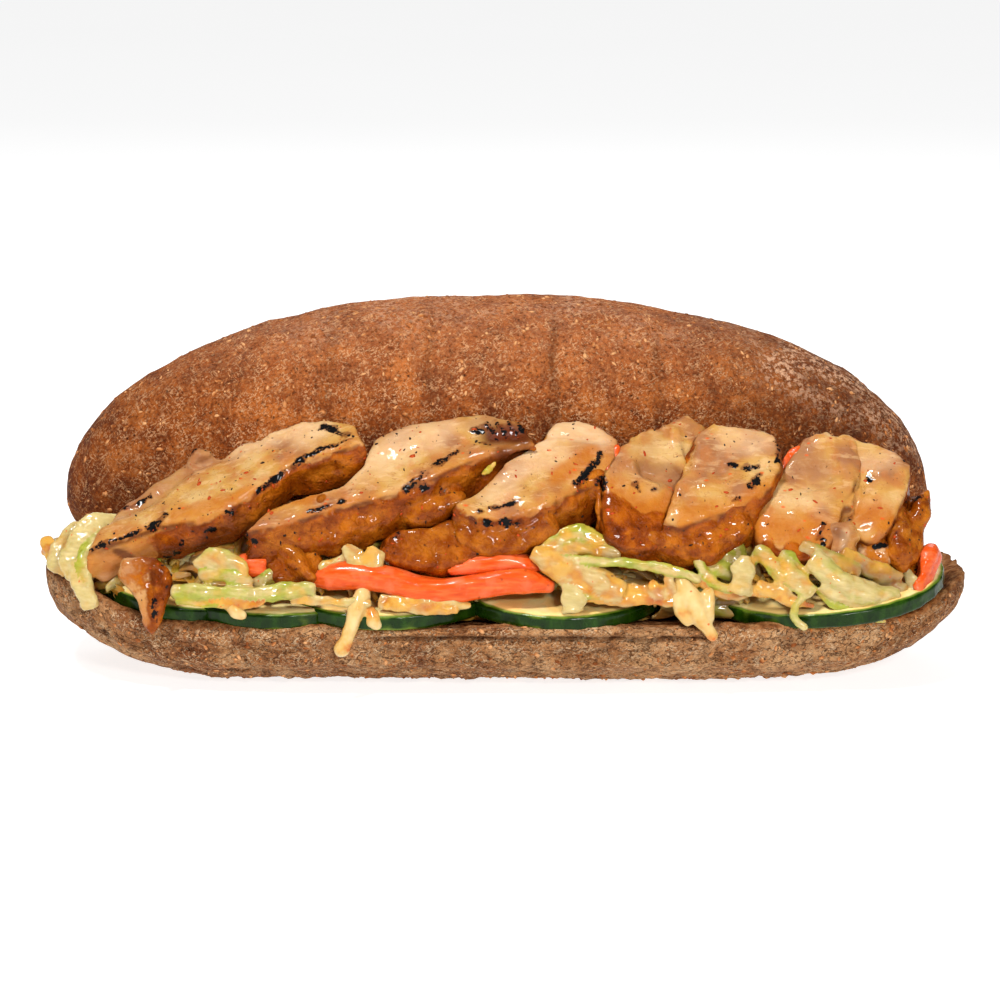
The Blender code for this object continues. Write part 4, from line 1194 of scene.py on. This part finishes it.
# Strips of dressed leaf: (width, thickness, cup, green share, sauce share), the share of its width
# at each end, and its route.
SHREDS = (
    # The long rib at the left and the leaves behind it.
    ((3.0, 1.9, 0.3, 0.42, 0.0), (0.9, 0.8), (
        (-69, -34.6, 23.6), (-59.7, -35.2, 23.0), (-52.4, -35.2, 22.9), (-45.1, -35, 23.5),
        (-38.5, -34.6, 24.2),
    )),
    ((1.5, 0.8, 0.2, 0.6, 0.2), (0.6, 0.3), (
        (-68, -35.6, 21.7), (-62.8, -36.1, 21.0), (-57.5, -36.0, 20.6),
    )),
    ((3.6, 1.0, 0.9, 0.3, 0.5), (0.6, 0.4), (
        (-63.9, -32.0, 28.3), (-60.2, -33.0, 30.2), (-56.0, -33.5, 29.7), (-52.9, -33.5, 27.0),
    )),
    ((3.4, 0.9, 0.6, 0.8, 0.3), (0.7, 0.5), (
        (-63.4, -32.8, 26.2), (-59.8, -33.6, 27.0), (-55.8, -33.8, 26.6), (-51.6, -33.6, 25.0),
    )),
    ((3.0, 0.9, 0.5, 0.6, 0.3), (0.6, 0.5), (
        (-52.4, -32.5, 24.2), (-49.0, -32.4, 25.6), (-46.4, -31.4, 27.4),
    )),
    ((2.0, 0.8, 0.2, 0.1, 1.0), (0.6, 0.5), (
        (-61.8, -35.6, 22.0), (-57.6, -36.0, 21.2), (-52.4, -36.0, 20.9), (-49.4, -35.9, 21.6),
    )),
    # Leaves under the second and third slices, and scraps on the cucumber.
    ((2.6, 0.9, 0.6, 0.3, 0.5), (0.6, 0.5), (
        (-38.3, -32.0, 27.6), (-32.7, -31.0, 29.4), (-28.6, -30.0, 30.8),
    )),
    ((3.6, 1.0, 0.6, 0.1, 0.4), (0.35, 0.9), (
        (-32.7, -31.0, 32.2), (-30.6, -32.2, 30.4), (-29.0, -33.2, 27.6),
    )),
    ((4.2, 1.2, 0.5, 0.05, 0.45), (0.35, 1.0), (
        (-27.4, -32.8, 32.8), (-26.6, -33.4, 29.6), (-26.4, -33.4, 26.8),
    )),
    ((1.9, 0.8, 0.2, 0.2, 0.5), (0.6, 0.7), (
        (-44.1, -35.2, 21.2), (-37.8, -35.7, 21.6), (-31.5, -36.0, 21.4), (-27.0, -36.0, 21.2),
    )),
    ((3.2, 0.9, 0.4, 0.1, 0.7), (0.8, 0.4), (
        (-25.7, -35.8, 21.6), (-21.1, -36.2, 21.1), (-14.8, -36.2, 20.4), (-9.0, -35.8, 19.5),
    )),
    ((2.4, 0.8, 0.3, 0.25, 0.35), (0.7, 0.3), (
        (-20.0, -35.8, 22.2), (-14.7, -35.6, 21.6), (-9.5, -35.4, 20.9), (-6.0, -34.8, 20.4),
    )),
    # The crumpled leaf in the middle, with its dressing.
    ((5.2, 1.1, 1.7, 0.1, 0.6), (0.6, 0.8), (
        (6.4, -32.6, 31.5), (11.3, -33.8, 29.3), (16.5, -34.4, 27.3), (21.7, -35.0, 25.0),
        (25.6, -35.0, 23.0),
    )),
    ((3.6, 1.0, 0.6, 0.4, 0.7), (0.6, 0.6), (
        (8.6, -33.3, 28.6), (13.4, -34.5, 26.2), (18.6, -35.2, 24.2), (23.4, -35.2, 22.6),
    )),
    ((4.4, 1.0, 1.0, 0.9, 0.35), (0.5, 0.6), (
        (8.6, -32.0, 31.4), (12.4, -31.5, 33.6), (16.6, -31.0, 34.2), (20.8, -31.0, 32.5),
        (24.0, -31.0, 30.2),
    )),
    ((3.0, 0.9, 0.6, 0.5, 0.6), (0.5, 0.5), (
        (12.4, -32.5, 31.2), (15.5, -32.4, 32.3), (20.4, -32.3, 31.2), (25.0, -32.4, 30.9),
    )),
    ((2.0, 1.0, 0.3, 0.5, 0.1), (0.7, 0.8), (
        (11.9, -34.0, 30.4), (18.6, -34.8, 30.0), (24.9, -34.8, 29.5), (31.1, -34.8, 28.9),
        (37.4, -34.7, 27.5), (41.6, -34.5, 25.8),
    )),
    ((4.2, 2.2, 0.0, 0.0, 0.1), (1.0, 1.0), (
        (15.1, -34.8, 24.7), (15.1, -35.9, 21.8), (15.2, -36.2, 19.2),
    )),
    ((2.8, 1.0, 0.3, 0.15, 1.0), (0.8, 0.8), (
        (17.6, -34.9, 22.3), (24.9, -35.2, 22.2), (33.3, -35.2, 21.6), (39.5, -34.9, 21.9),
    )),
    ((2.8, 0.9, 0.3, 0.1, 0.8), (0.7, 0.8), (
        (25.0, -34.0, 24.0), (30.0, -34.2, 23.4), (36.0, -34.0, 23.6), (41.0, -33.6, 24.4),
    )),
    ((2.6, 1.1, 0.2, 0.05, 0.9), (1.0, 0.4), (
        (33.3, -35.2, 22.0), (32.4, -35.2, 23.8), (31.2, -34.8, 25.6),
    )),
    ((2.2, 1.0, 0.2, 0.05, 0.7), (0.9, 0.4), (
        (34.9, -35.0, 21.6), (35.9, -35.0, 24.2), (34.1, -34.5, 26.4),
    )),
    # The tangle right of the middle.
    ((2.0, 1.0, 0.3, 0.5, 0.15), (0.8, 0.8), (
        (40.6, -32.0, 31.2), (42.2, -33.5, 27.7), (44.8, -34.5, 25.0), (47.9, -34.8, 24.2),
        (50.4, -34.5, 25.8), (52.5, -33.0, 29.3), (53.8, -32.0, 32.7),
    )),
    ((2.6, 0.9, 0.4, 0.3, 0.9), (0.8, 0.6), (
        (41.0, -33.4, 26.4), (44.0, -34.0, 23.8), (48.0, -34.2, 22.8), (53.0, -34.4, 23.6),
        (58.0, -34.6, 22.6),
    )),
    ((4.4, 1.1, 1.6, 0.1, 0.3), (0.6, 0.9), (
        (51.2, -33.3, 30.9), (50.6, -34.8, 26.9), (49.6, -35.2, 22.9),
    )),
    ((3.4, 1.0, 0.7, 0.6, 0.5), (0.5, 0.7), (
        (53.4, -32.0, 32.1), (55.2, -33.0, 30.6), (57.3, -34.0, 28.5), (58.9, -34.5, 25.4),
    )),
    ((4.0, 1.0, 0.7, 1.0, 0.0), (0.5, 0.7), (
        (47.7, -29.0, 34.9), (48.5, -30.0, 32.3), (49.7, -31.0, 29.3), (50.5, -32.0, 26.9),
    )),
    ((3.4, 1.0, 0.6, 0.9, 0.1), (0.6, 0.7), (
        (40.9, -31.0, 29.3), (43.4, -32.0, 28.2), (46.3, -32.5, 27.3), (49.1, -32.0, 26.3),
    )),
    ((2.8, 0.9, 0.5, 0.8, 0.1), (0.5, 0.7), (
        (43.6, -30.0, 32.5), (46.4, -31.0, 30.4), (49.1, -31.5, 29.2),
    )),
    ((3.0, 1.0, 0.4, 0.2, 0.7), (0.6, 0.6), (
        (53.2, -34.4, 25.2), (57.3, -35.0, 23.4), (61.5, -35.0, 21.4),
    )),
    # The pale ribs and green shreds at the right.
    ((4.2, 1.0, 0.8, 0.5, 0.4), (0.5, 0.7), (
        (55.3, -32.6, 30.4), (59.4, -34.0, 27.4), (62.5, -34.5, 25.2), (65.0, -35.0, 22.8),
    )),
    ((3.2, 1.0, 0.6, 0.9, 0.2), (0.5, 0.6), (
        (58.6, -31.4, 31.2), (61.4, -32.8, 28.4), (63.6, -33.8, 25.4),
    )),
    ((4.4, 1.4, 1.9, 0.25, 0.0), (0.9, 0.8), (
        (64.7, -32.6, 30.2), (68.4, -34.0, 27.2), (72.6, -34.2, 24.6), (77.4, -32.8, 22.6),
        (83.4, -30.4, 21.4),
    )),
    ((4.0, 1.0, 0.8, 0.4, 0.6), (0.6, 0.6), (
        (62.7, -31.0, 32.5), (65.8, -32.0, 30.8), (70.0, -32.4, 28.8), (75.4, -31.5, 26.6),
    )),
    ((2.0, 1.0, 0.3, 1.1, 0.0), (0.7, 0.4), (
        (66.0, -33.8, 23.8), (69.9, -34.4, 20.6), (75.4, -33.4, 18.1), (81.2, -31.4, 16.1),
    )),
    ((2.6, 1.1, 0.4, 0.1, 0.1), (0.7, 0.7), (
        (67.0, -34.6, 24.8), (71.0, -34.4, 22.6), (76.0, -33.2, 20.6), (80.6, -31.4, 19.6),
    )),
    ((1.4, 0.9, 0.2, 0.3, 0.1), (1.0, 0.5), (
        (65.0, -34.6, 24.0), (62.1, -35.9, 21.2), (61.2, -36.4, 18.8), (62.3, -36.7, 16.9),
        (64.0, -36.5, 16.0),
    )),
    ((1.3, 1.0, 0.6, 0.05, 0.1), (0.4, 0.3), (
        (66.4, -34.6, 29.0), (70.0, -35.4, 26.0), (74.4, -35.0, 23.4), (79.0, -33.6, 21.6),
    )),
    ((3.6, 1.0, 0.7, 0.3, 0.8), (0.6, 0.6), (
        (71.4, -31.0, 31.2), (75.4, -30.4, 28.4), (79.8, -29.4, 26.2), (84.6, -28.2, 24.5),
    )),
    ((3.6, 1.0, 0.6, 0.1, 0.5), (0.6, 0.6), (
        (78.0, -29.4, 24.0), (82.0, -29.2, 22.8), (85.6, -28.2, 22.4),
    )),
    ((2.6, 1.0, 0.4, 0.15, 0.0), (0.6, 0.8), (
        (85.6, -26.3, 26.2), (86.9, -27.2, 22.9), (86.4, -28.2, 19.8), (84.0, -29.4, 18.4),
    )),
    ((2.2, 0.9, 0.3, 0.1, 1.0), (0.7, 0.4), (
        (51.3, -34.2, 24.3), (56.2, -34.8, 23.0), (60.5, -35.0, 21.4), (65.8, -34.8, 20.2),
    )),
    # A scrap between the second and third slices.
    ((1.1, 0.7, 0.2, 0.7, 0.5), (0.6, 0.5), (
        (-4.0, -26.6, 46.6), (-2.6, -26.0, 47.6), (-1.0, -25.2, 49.2),
    )),
    # The leaf that hangs over the left end, with its curds of dressing.
    ((8.0, 1.2, 1.2, 0.15, 0.1), (0.4, 0.5), (
        (-80.0, -17.5, 34.8), (-84.2, -20.0, 33.2), (-87.9, -22.2, 30.8), (-89.6, -23.7, 27.4),
        (-89.0, -25.2, 23.6),
    )),
    ((6.6, 1.2, 1.0, 0.1, 0.4), (0.5, 0.5), (
        (-87.0, -15.0, 32.6), (-91.0, -16.5, 30.2), (-93.2, -18.4, 27.2), (-91.8, -20.6, 23.6),
    )),
    ((3.4, 1.1, 0.8, 0.5, 0.0), (0.5, 0.6), (
        (-82.4, -20.5, 33.4), (-85.6, -23.0, 31.2), (-87.6, -25.2, 28.4), (-88.0, -26.2, 25.2),
        (-87.2, -26.8, 22.4),
    )),
    ((3.6, 2.2, 0.5, 0.0, 0.1), (1.0, 0.7), (
        (-89.6, -24.4, 28.0), (-88.8, -26.2, 23.6), (-87.4, -27.2, 20.4), (-86.6, -27.4, 18.0),
    )),
    ((3.0, 1.3, 0.5, 0.2, 1.2), (1.0, 0.4), (
        (-92.2, -18.4, 27.4), (-95.6, -16.4, 28.7), (-98.6, -14.2, 29.4),
    )),
    ((2.2, 1.2, 0.3, 0.0, 1.4), (1.0, 0.5), (
        (-92.8, -18.4, 25.8), (-96.0, -16.2, 26.8), (-98.4, -14.2, 27.3),
    )),
)
# Two slips of carrot caught between the slices of chicken: route, width.
CARROT_SLIPS = (
    (((22.0, -23.6, 46.8), (23.4, -22.3, 49.6), (24.8, -20.6, 51.6)), 1.7),
    (((59.4, -19.4, 46.2), (60.6, -18.6, 48.2), (61.8, -18.0, 49.6), (63.6, -17.2, 50.6)), 1.7),
)
# How much wider a leaf is laid than its route says, and the way that leaves face.
LEAF_SPREAD = 1.2
FACING = (0.0, -1.0, 0.25)
FILL_COUNT = 420
FILL_SHAPES = 5


def cabbage_finish():
    """Raw white cabbage: pale ribs, yellow-green leaf edges, and sauce that clings to it."""
    look = Finish("dressed_cabbage", Coat_Weight=0.5, Coat_Roughness=0.04, Specular_IOR_Level=0.15)
    look.lets_light_in(0.3, (1.0, 0.8, 0.35), 1.4)
    patch = look.noise(4.0, 3, 0.55)
    vein = look.noise(0.8, 3, 0.5, look.turned((0, 10, 0), (4, 1, 1)))
    pale = look.mix(vein, (170, 144, 74), (222, 202, 144))
    green = look.mix(vein, (112, 122, 12), (188, 186, 74))
    leafy = look.plus(look.painted("green"), look.band(patch, 0.35, 0.65, -0.2, 0.2))
    colour = look.mix(look.band(leafy, 0.2, 1.0), pale, green)
    sauced = look.plus(look.painted("sauce"), look.band(look.noise(4.4, 2), 0.35, 0.65, -0.3, 0.3))
    pools = look.noise(4.4, 2)
    cream = look.ramp(pools, (0.38, (180, 84, 2)), (0.48, (196, 118, 16)), (0.6, (212, 156, 60)))
    colour = look.mix(look.band(sauced, -0.1, 1.0, 0, 0.9), colour, cream)
    # Painted shade in the hollows of the heap and between and behind the leaves.
    colour = look.mix(look.painted("deep"), colour, (84, 50, 4))
    dots = speckle(look, 1.9, 0.22, 0.11, look.warped(0.6, 0.3, (2, 7, 1)), 0.05)
    colour = look.mix(look.times(dots, 0.8), colour, (206, 84, 24))
    normal = look.bump(look.plus(vein, look.noise(2.0, 2)), 0.25, 0.5)
    rough = look.band(patch, 0.3, 0.7, 0.16, 0.34)
    return look.done(colour, rough, normal)


def smooth_route(route, count):
    """Evenly counted places on a smooth line through a few."""
    knots = np.array([route[0], *route, route[-1]], float)
    found = []
    for share in np.linspace(0, len(route) - 1, count):
        i = min(int(share), len(route) - 2)
        t = share - i
        a, b, c, d = knots[i : i + 4]
        second = 2 * a - 5 * b + 4 * c - d
        third = 3 * b - a - 3 * c + d
        found.append(0.5 * (2 * b + (c - a) * t + second * t**2 + third * t**3))
    return np.array(found)


def lay_strip(name, route, width, thick, cup, ends, steps=14, rows=2, rounds=2, wave=0.3, seed=0):
    """A flat strip of leaf laid along a route, thickened and rounded; its face looks outwards.

    `ends` are the shares of its width at either end, and `cup` is how far its middle bows out.
    """
    path = smooth_route(route, steps + 1)
    along = np.gradient(path, axis=0)
    along /= np.linalg.norm(along, axis=1)[:, None]
    side = np.cross(along, np.array(FACING))
    side /= np.linalg.norm(side, axis=1)[:, None]
    out = np.cross(side, along)
    bpy.ops.object.select_all(action="DESELECT")
    bpy.ops.mesh.primitive_grid_add(x_subdivisions=steps, y_subdivisions=rows, size=1, location=(0, 0, 0))
    strip = bpy.context.active_object
    strip.name = name
    p = points_of(strip) * MM
    row = np.rint((p[:, 0] + 0.5) * steps).astype(int)
    share = row / steps
    across = p[:, 1] * 2
    first, last = ends
    opening = first + (1 - first) * ease(0, 0.3, share)
    closing = last + (1 - last) * ease(1, 0.7, share)
    full = np.where(share < 0.5, opening, closing)
    bowl = cup * (1 - across**2) + wave * np.sin(share * 9 + across * 1.5 + seed)
    spread = across * width / 2 * full * (1 + 0.12 * np.sin(share * 11 + seed * 2))
    set_points(strip, path[row] + side[row] * spread[:, None] + out[row] * bowl[:, None])
    apply_modifier(strip, "SOLIDIFY", thickness=thick * MM, offset=0.0)
    if rounds:
        apply_modifier(strip, "SUBSURF", levels=rounds, render_levels=rounds)
    edit_all(strip, bpy.ops.mesh.normals_make_consistent, inside=False)
    bpy.ops.object.shade_smooth()
    return strip


def make_cabbage_core(finish):
    """The heap a little smaller and furrowed, under the leaves; returns its places and normals."""
    core = copy_of("cabbage_bed", "cabbage_core")
    remake(core, BED_GRAIN, 3)
    p, n = points_of(core), normals_of(core)
    lift = -0.7 + 1.3 * grain(p * (0.45, 1, 1.3), 3.0, 61) + 0.5 * grain(p * (0.5, 1, 1), 1.6, 62)
    set_points(core, p + n * lift[:, None])
    paint(core, "green", 0.5 + 0.5 * grain(p, 5, 63))
    paint(core, "sauce", 0.55 + 0.4 * grain(p, 6, 64))
    # Painted shade in the furrows of the heap, and a little over all of it.
    paint(core, "deep", ease(-0.8, -2.2, lift) * 0.5 + 0.12)
    core.data.materials.append(finish)
    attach(core, "root")
    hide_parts("cabbage_bed")
    return p, n


def how_far_back(points, cell):
    """How far each place lies behind the foremost leaf near it, looking from the open side."""
    spots = np.floor((points[:, [0, 2]] - points[:, [0, 2]].min(axis=0)) / cell).astype(int) + 1
    far = 1e3
    front = np.full(spots.max(axis=0) + 2, far)
    np.minimum.at(front, (spots[:, 0], spots[:, 1]), points[:, 1])
    near = np.full(len(points), far)
    for aside in (-1, 0, 1):
        for above in (-1, 0, 1):
            near = np.minimum(near, front[spots[:, 0] + aside, spots[:, 1] + above])
    return points[:, 1] - near


def soften(piece, values, rounds):
    """Blends values painted on points with their neighbours'."""
    edges = np.empty(len(piece.data.edges) * 2, dtype=np.int32)
    piece.data.edges.foreach_get("vertices", edges)
    edges = edges.reshape(-1, 2)
    ends = np.concatenate((edges[:, 0], edges[:, 1]))
    others = np.concatenate((edges[:, 1], edges[:, 0]))
    share = np.maximum(np.bincount(ends, minlength=len(values)), 1)
    for _ in range(rounds):
        values = 0.5 * values + 0.5 * np.bincount(ends, values[others], minlength=len(values)) / share
    return values


def make_shreds(finish):
    """The dressed leaves on top of the heap, run together where they touch as wet leaves are."""
    strips = []
    shares = []
    for number, ((width, thick, cup, green, sauce), ends, route) in enumerate(SHREDS):
        full_width = width * LEAF_SPREAD
        strip = lay_strip("shred", route, full_width, thick, cup, ends, seed=number)
        places = points_of(strip)
        edge = ease(0.35, 0.95, near_line(places, route) / (full_width / 2))
        leafy = green * (0.35 + 1.4 * edge)
        clinging = sauce * (1.15 - 0.4 * edge)
        shares.extend(zip(places.tolist(), leafy, clinging))
        strips.append(strip)
    shreds = join("cabbage_shreds", strips)
    remake(shreds, LEAF_GRAIN, 3)
    tree = tree_of([place for place, _, _ in shares])
    p, n = points_of(shreds), normals_of(shreds)
    nearest = [tree.find(place)[1] for place in p.tolist()]
    lift = 0.46 * grain(p, 3.4, 65) + 0.28 * grain(p, 1.8, 68) + 0.08 * grain(p, 0.9, 66)
    set_points(shreds, p + n * lift[:, None])
    paint(shreds, "green", [shares[index][1] for index in nearest])
    pooled = 0.45 * ease(0.05, -0.35, lift) - 0.15
    paint(shreds, "sauce", np.array([shares[index][2] for index in nearest]) + pooled)
    # Painted shade where a leaf turns away from the open side and where it lies behind the foremost leaf.
    hollow = ease(-0.1, -0.7, 0.4 * n[:, 2] - n[:, 1])
    behind = soften(shreds, ease(1.4, 4.6, how_far_back(p, 1.6)) * ease(-82, -76, p[:, 0]), 24)
    paint(shreds, "deep", np.maximum(0.65 * hollow, 0.5 * behind))
    shreds.data.materials.append(finish)
    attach(shreds, "root")


def make_fill(finish, bed_points, bed_normals):
    """Short shreds strewn over the heap wherever it shows, each from one of a few shapes."""
    pick = random.Random(5)
    shapes = []
    for number in range(FILL_SHAPES):
        bend = 1.2 + number
        bow = -0.3 * bend
        route = ((-6, 0, 0), (-2, bow, 0.5 * bend), (2, bow, 0.3 * bend), (6, 0, -0.5 * bend))
        plain = {"steps": 6, "rows": 1, "rounds": 0, "wave": 0.1, "seed": number}
        strip = lay_strip("shape", route, 1.5 + 0.2 * number, 0.8, 0.0, (0.7, 0.5), **plain)
        shapes.append((points_of(strip), faces_of(strip)))
        bpy.data.objects.remove(strip)
    x, y, z = bed_points.T
    shows = (bed_normals[:, 2] > -0.3) & ((y < -14) | (x > 80)) & (z > 20) & (x > -90)
    spots = np.flatnonzero(shows)
    points, faces, green, sauce = [], [], [], []
    for _ in range(FILL_COUNT):
        spot = spots[pick.randrange(len(spots))]
        shape_points, shape_faces = shapes[pick.randrange(len(shapes))]
        out = bed_normals[spot]
        heading = np.array((math.cos(pick.gauss(0, 0.5)), pick.gauss(0, 0.35), pick.gauss(0, 0.5)))
        heading -= out * (heading @ out)
        heading /= np.linalg.norm(heading)
        rise = np.cross(out, heading)
        scale = pick.uniform(0.45, 0.95)
        sunk = bed_points[spot] + out * pick.uniform(-1.2, 0.5)
        laid = shape_points * (scale, 0.8, pick.uniform(0.7, 1.2))
        start = len(points)
        points.extend(sunk + laid[:, :1] * heading - laid[:, 1:2] * out + laid[:, 2:] * rise)
        faces.extend(tuple(start + i for i in face) for face in shape_faces)
        green.extend([pick.random()] * len(laid))
        sauce.extend([pick.random()] * len(laid))
    fill = lay_mesh("cabbage_fill", points, faces, finish)
    paint(fill, "green", green)
    paint(fill, "sauce", sauce)
    # A little painted shade over all the strewn shreds.
    paint(fill, "deep", [0.08] * len(points))


def make_carrot_slips(finish):
    """Thin slips of carrot that show between the slices of chicken."""
    strips = []
    for route, width in CARROT_SLIPS:
        strips.append(lay_strip("slip", route, width, 0.8, 0.2, (0.4, 0.7), steps=8, wave=0.4))
    slips = join("carrot_slips", strips)
    slips.data.materials.append(finish)
    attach(slips, "root")


# ---------------------------------------------------------------- sauce

# Runs of sauce: places and radii along each.
SAUCE_RUNS = (
    (
        (-29.0, -34.4, 22.4, 2.0), (-30.2, -36.0, 19.8, 2.0), (-31.2, -37.0, 16.6, 1.7),
        (-32.4, -37.6, 13.6, 1.5), (-33.3, -37.8, 11.7, 1.8),
    ),
    ((-27.2, -35.6, 19.4, 1.1), (-26.6, -36.2, 17.6, 1.9), (-26.0, -36.4, 16.8, 1.5)),
    ((-29.6, -35.2, 20.8, 1.2), (-27.8, -35.6, 19.6, 0.9)),
    (
        (37.0, -32.6, 26.4, 1.6), (38.6, -34.6, 23.6, 2.2), (40.4, -35.6, 21.2, 2.5),
        (41.4, -36.3, 18.6, 2.2), (43.0, -36.9, 16.2, 1.5), (44.2, -37.1, 14.4, 1.3),
    ),
    ((37.4, -35.0, 22.0, 1.8), (37.8, -35.7, 19.4, 1.7), (39.0, -36.2, 17.4, 1.2)),
    ((43.4, -34.6, 23.0, 1.5), (43.4, -35.6, 20.6, 1.5), (43.6, -36.3, 18.0, 1.2)),
    (
        (-58.6, -35.2, 21.2, 0.9), (-56.3, -35.5, 20.6, 1.6), (-55.4, -35.8, 19.3, 1.6),
        (-54.0, -35.8, 18.6, 1.0),
    ),
)


def sauce_finish():
    """Creamy chilli mayonnaise, glossy, with orange oil and chilli in places."""
    look = Finish("chilli_mayo", Coat_Weight=0.35, Coat_Roughness=0.07, Specular_IOR_Level=0.2)
    look.lets_light_in(0.25, (1.0, 0.7, 0.35), 1.8)
    patch = look.noise(5.0, 3, 0.5)
    colour = look.ramp(patch, (0.32, (204, 112, 34)), (0.42, (210, 166, 90)), (0.6, (222, 194, 134)))
    dots = speckle(look, 1.8, 0.25, 0.13, look.warped(0.5, 0.3), 0.06)
    colour = look.mix(look.times(dots, 0.8), colour, (216, 92, 26))
    normal = look.bump(look.noise(1.8, 2), 0.15, 0.4)
    rough = look.band(patch, 0.3, 0.7, 0.12, 0.26)
    return look.done(colour, rough, normal)


def make_sauce(finish):
    """Drips and runs of sauce over the front of the filling."""
    chains = [blob_chain("run", run) for run in SAUCE_RUNS]
    sauce = join("sauce", chains)
    remake(sauce, SAUCE_GRAIN, 8)
    p, n = points_of(sauce), normals_of(sauce)
    lift = 0.22 * grain(p, 2.6, 71) + 0.08 * grain(p, 1.2, 72)
    set_points(sauce, p + n * lift[:, None])
    sauce.data.materials.append(finish)
    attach(sauce, "root")


# ---------------------------------------------------------------- studio


def make_studio():
    """A plain floor, a plain world, three soft lamps and the camera."""
    bpy.ops.mesh.primitive_plane_add(size=2 * FLOOR_HALF * MM, location=(0, 0, 0))
    floor = bpy.context.active_object
    floor.name = "studio_floor"
    look = Finish("pale_floor", Roughness=0.9, Specular_IOR_Level=0.1, Emission_Strength=0.8)
    look.shader.inputs["Emission Color"].default_value = (1, 1, 1, 1)
    grey = look.mix(look.noise(400, 2), (180, 180, 180), (188, 188, 188))
    floor.data.materials.append(look.done(grey))

    world = bpy.data.worlds.new("studio")
    world.use_nodes = True
    background = world.node_tree.nodes["Background"]
    background.inputs["Color"].default_value = (1, 1, 1, 1)
    background.inputs["Strength"].default_value = WORLD_LIGHT
    bpy.context.scene.world = world

    for name, place, size, power in LAMPS:
        lamp = bpy.data.lights.new(name, "AREA")
        lamp.shape = "RECTANGLE"
        lamp.size, lamp.size_y = (s * MM for s in size)
        lamp.energy = power
        holder = add_object(name, lamp)
        holder.location = Vector(place) * MM
        holder.rotation_euler = (Vector(LOOK_AT) - Vector(place)).to_track_quat("-Z", "Y").to_euler()

    tilt = math.radians(CAMERA_ELEVATION)
    camera = bpy.data.cameras.new("camera")
    camera.lens = LENS
    camera.sensor_width = 36
    camera.clip_start = 0.01
    camera.clip_end = 30
    holder = add_object("camera", camera)
    back = Vector((0, -math.cos(tilt), math.sin(tilt))) * CAMERA_DISTANCE
    holder.location = (Vector(LOOK_AT) + back) * MM
    holder.rotation_euler = (math.radians(90) - tilt, 0, 0)
    bpy.context.scene.camera = holder
    bpy.context.scene.view_settings.view_transform = "Standard"


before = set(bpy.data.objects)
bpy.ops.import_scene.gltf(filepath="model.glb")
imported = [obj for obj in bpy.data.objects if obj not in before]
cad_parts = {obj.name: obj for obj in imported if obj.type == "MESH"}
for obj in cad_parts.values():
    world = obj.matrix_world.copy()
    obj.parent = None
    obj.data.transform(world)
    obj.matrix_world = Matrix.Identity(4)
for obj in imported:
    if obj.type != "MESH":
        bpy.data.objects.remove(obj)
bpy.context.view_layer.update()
make_studio()
make_bran(*make_roll())
meat = meat_finish()
meat_places, meat_normals = zip(*(make_meat(node, meat) for node in CUTS))
make_seasoning(np.concatenate(meat_places), np.concatenate(meat_normals))
cucumber = cucumber_finish()
for node in CUCUMBERS:
    make_cucumber(node, cucumber)
carrot = carrot_finish()
for node in CARROTS:
    make_carrot(node, carrot)
make_carrot_slips(carrot)
cabbage = cabbage_finish()
bed_points, bed_normals = make_cabbage_core(cabbage)
make_shreds(cabbage)
make_fill(cabbage, bed_points, bed_normals)
make_sauce(sauce_finish())
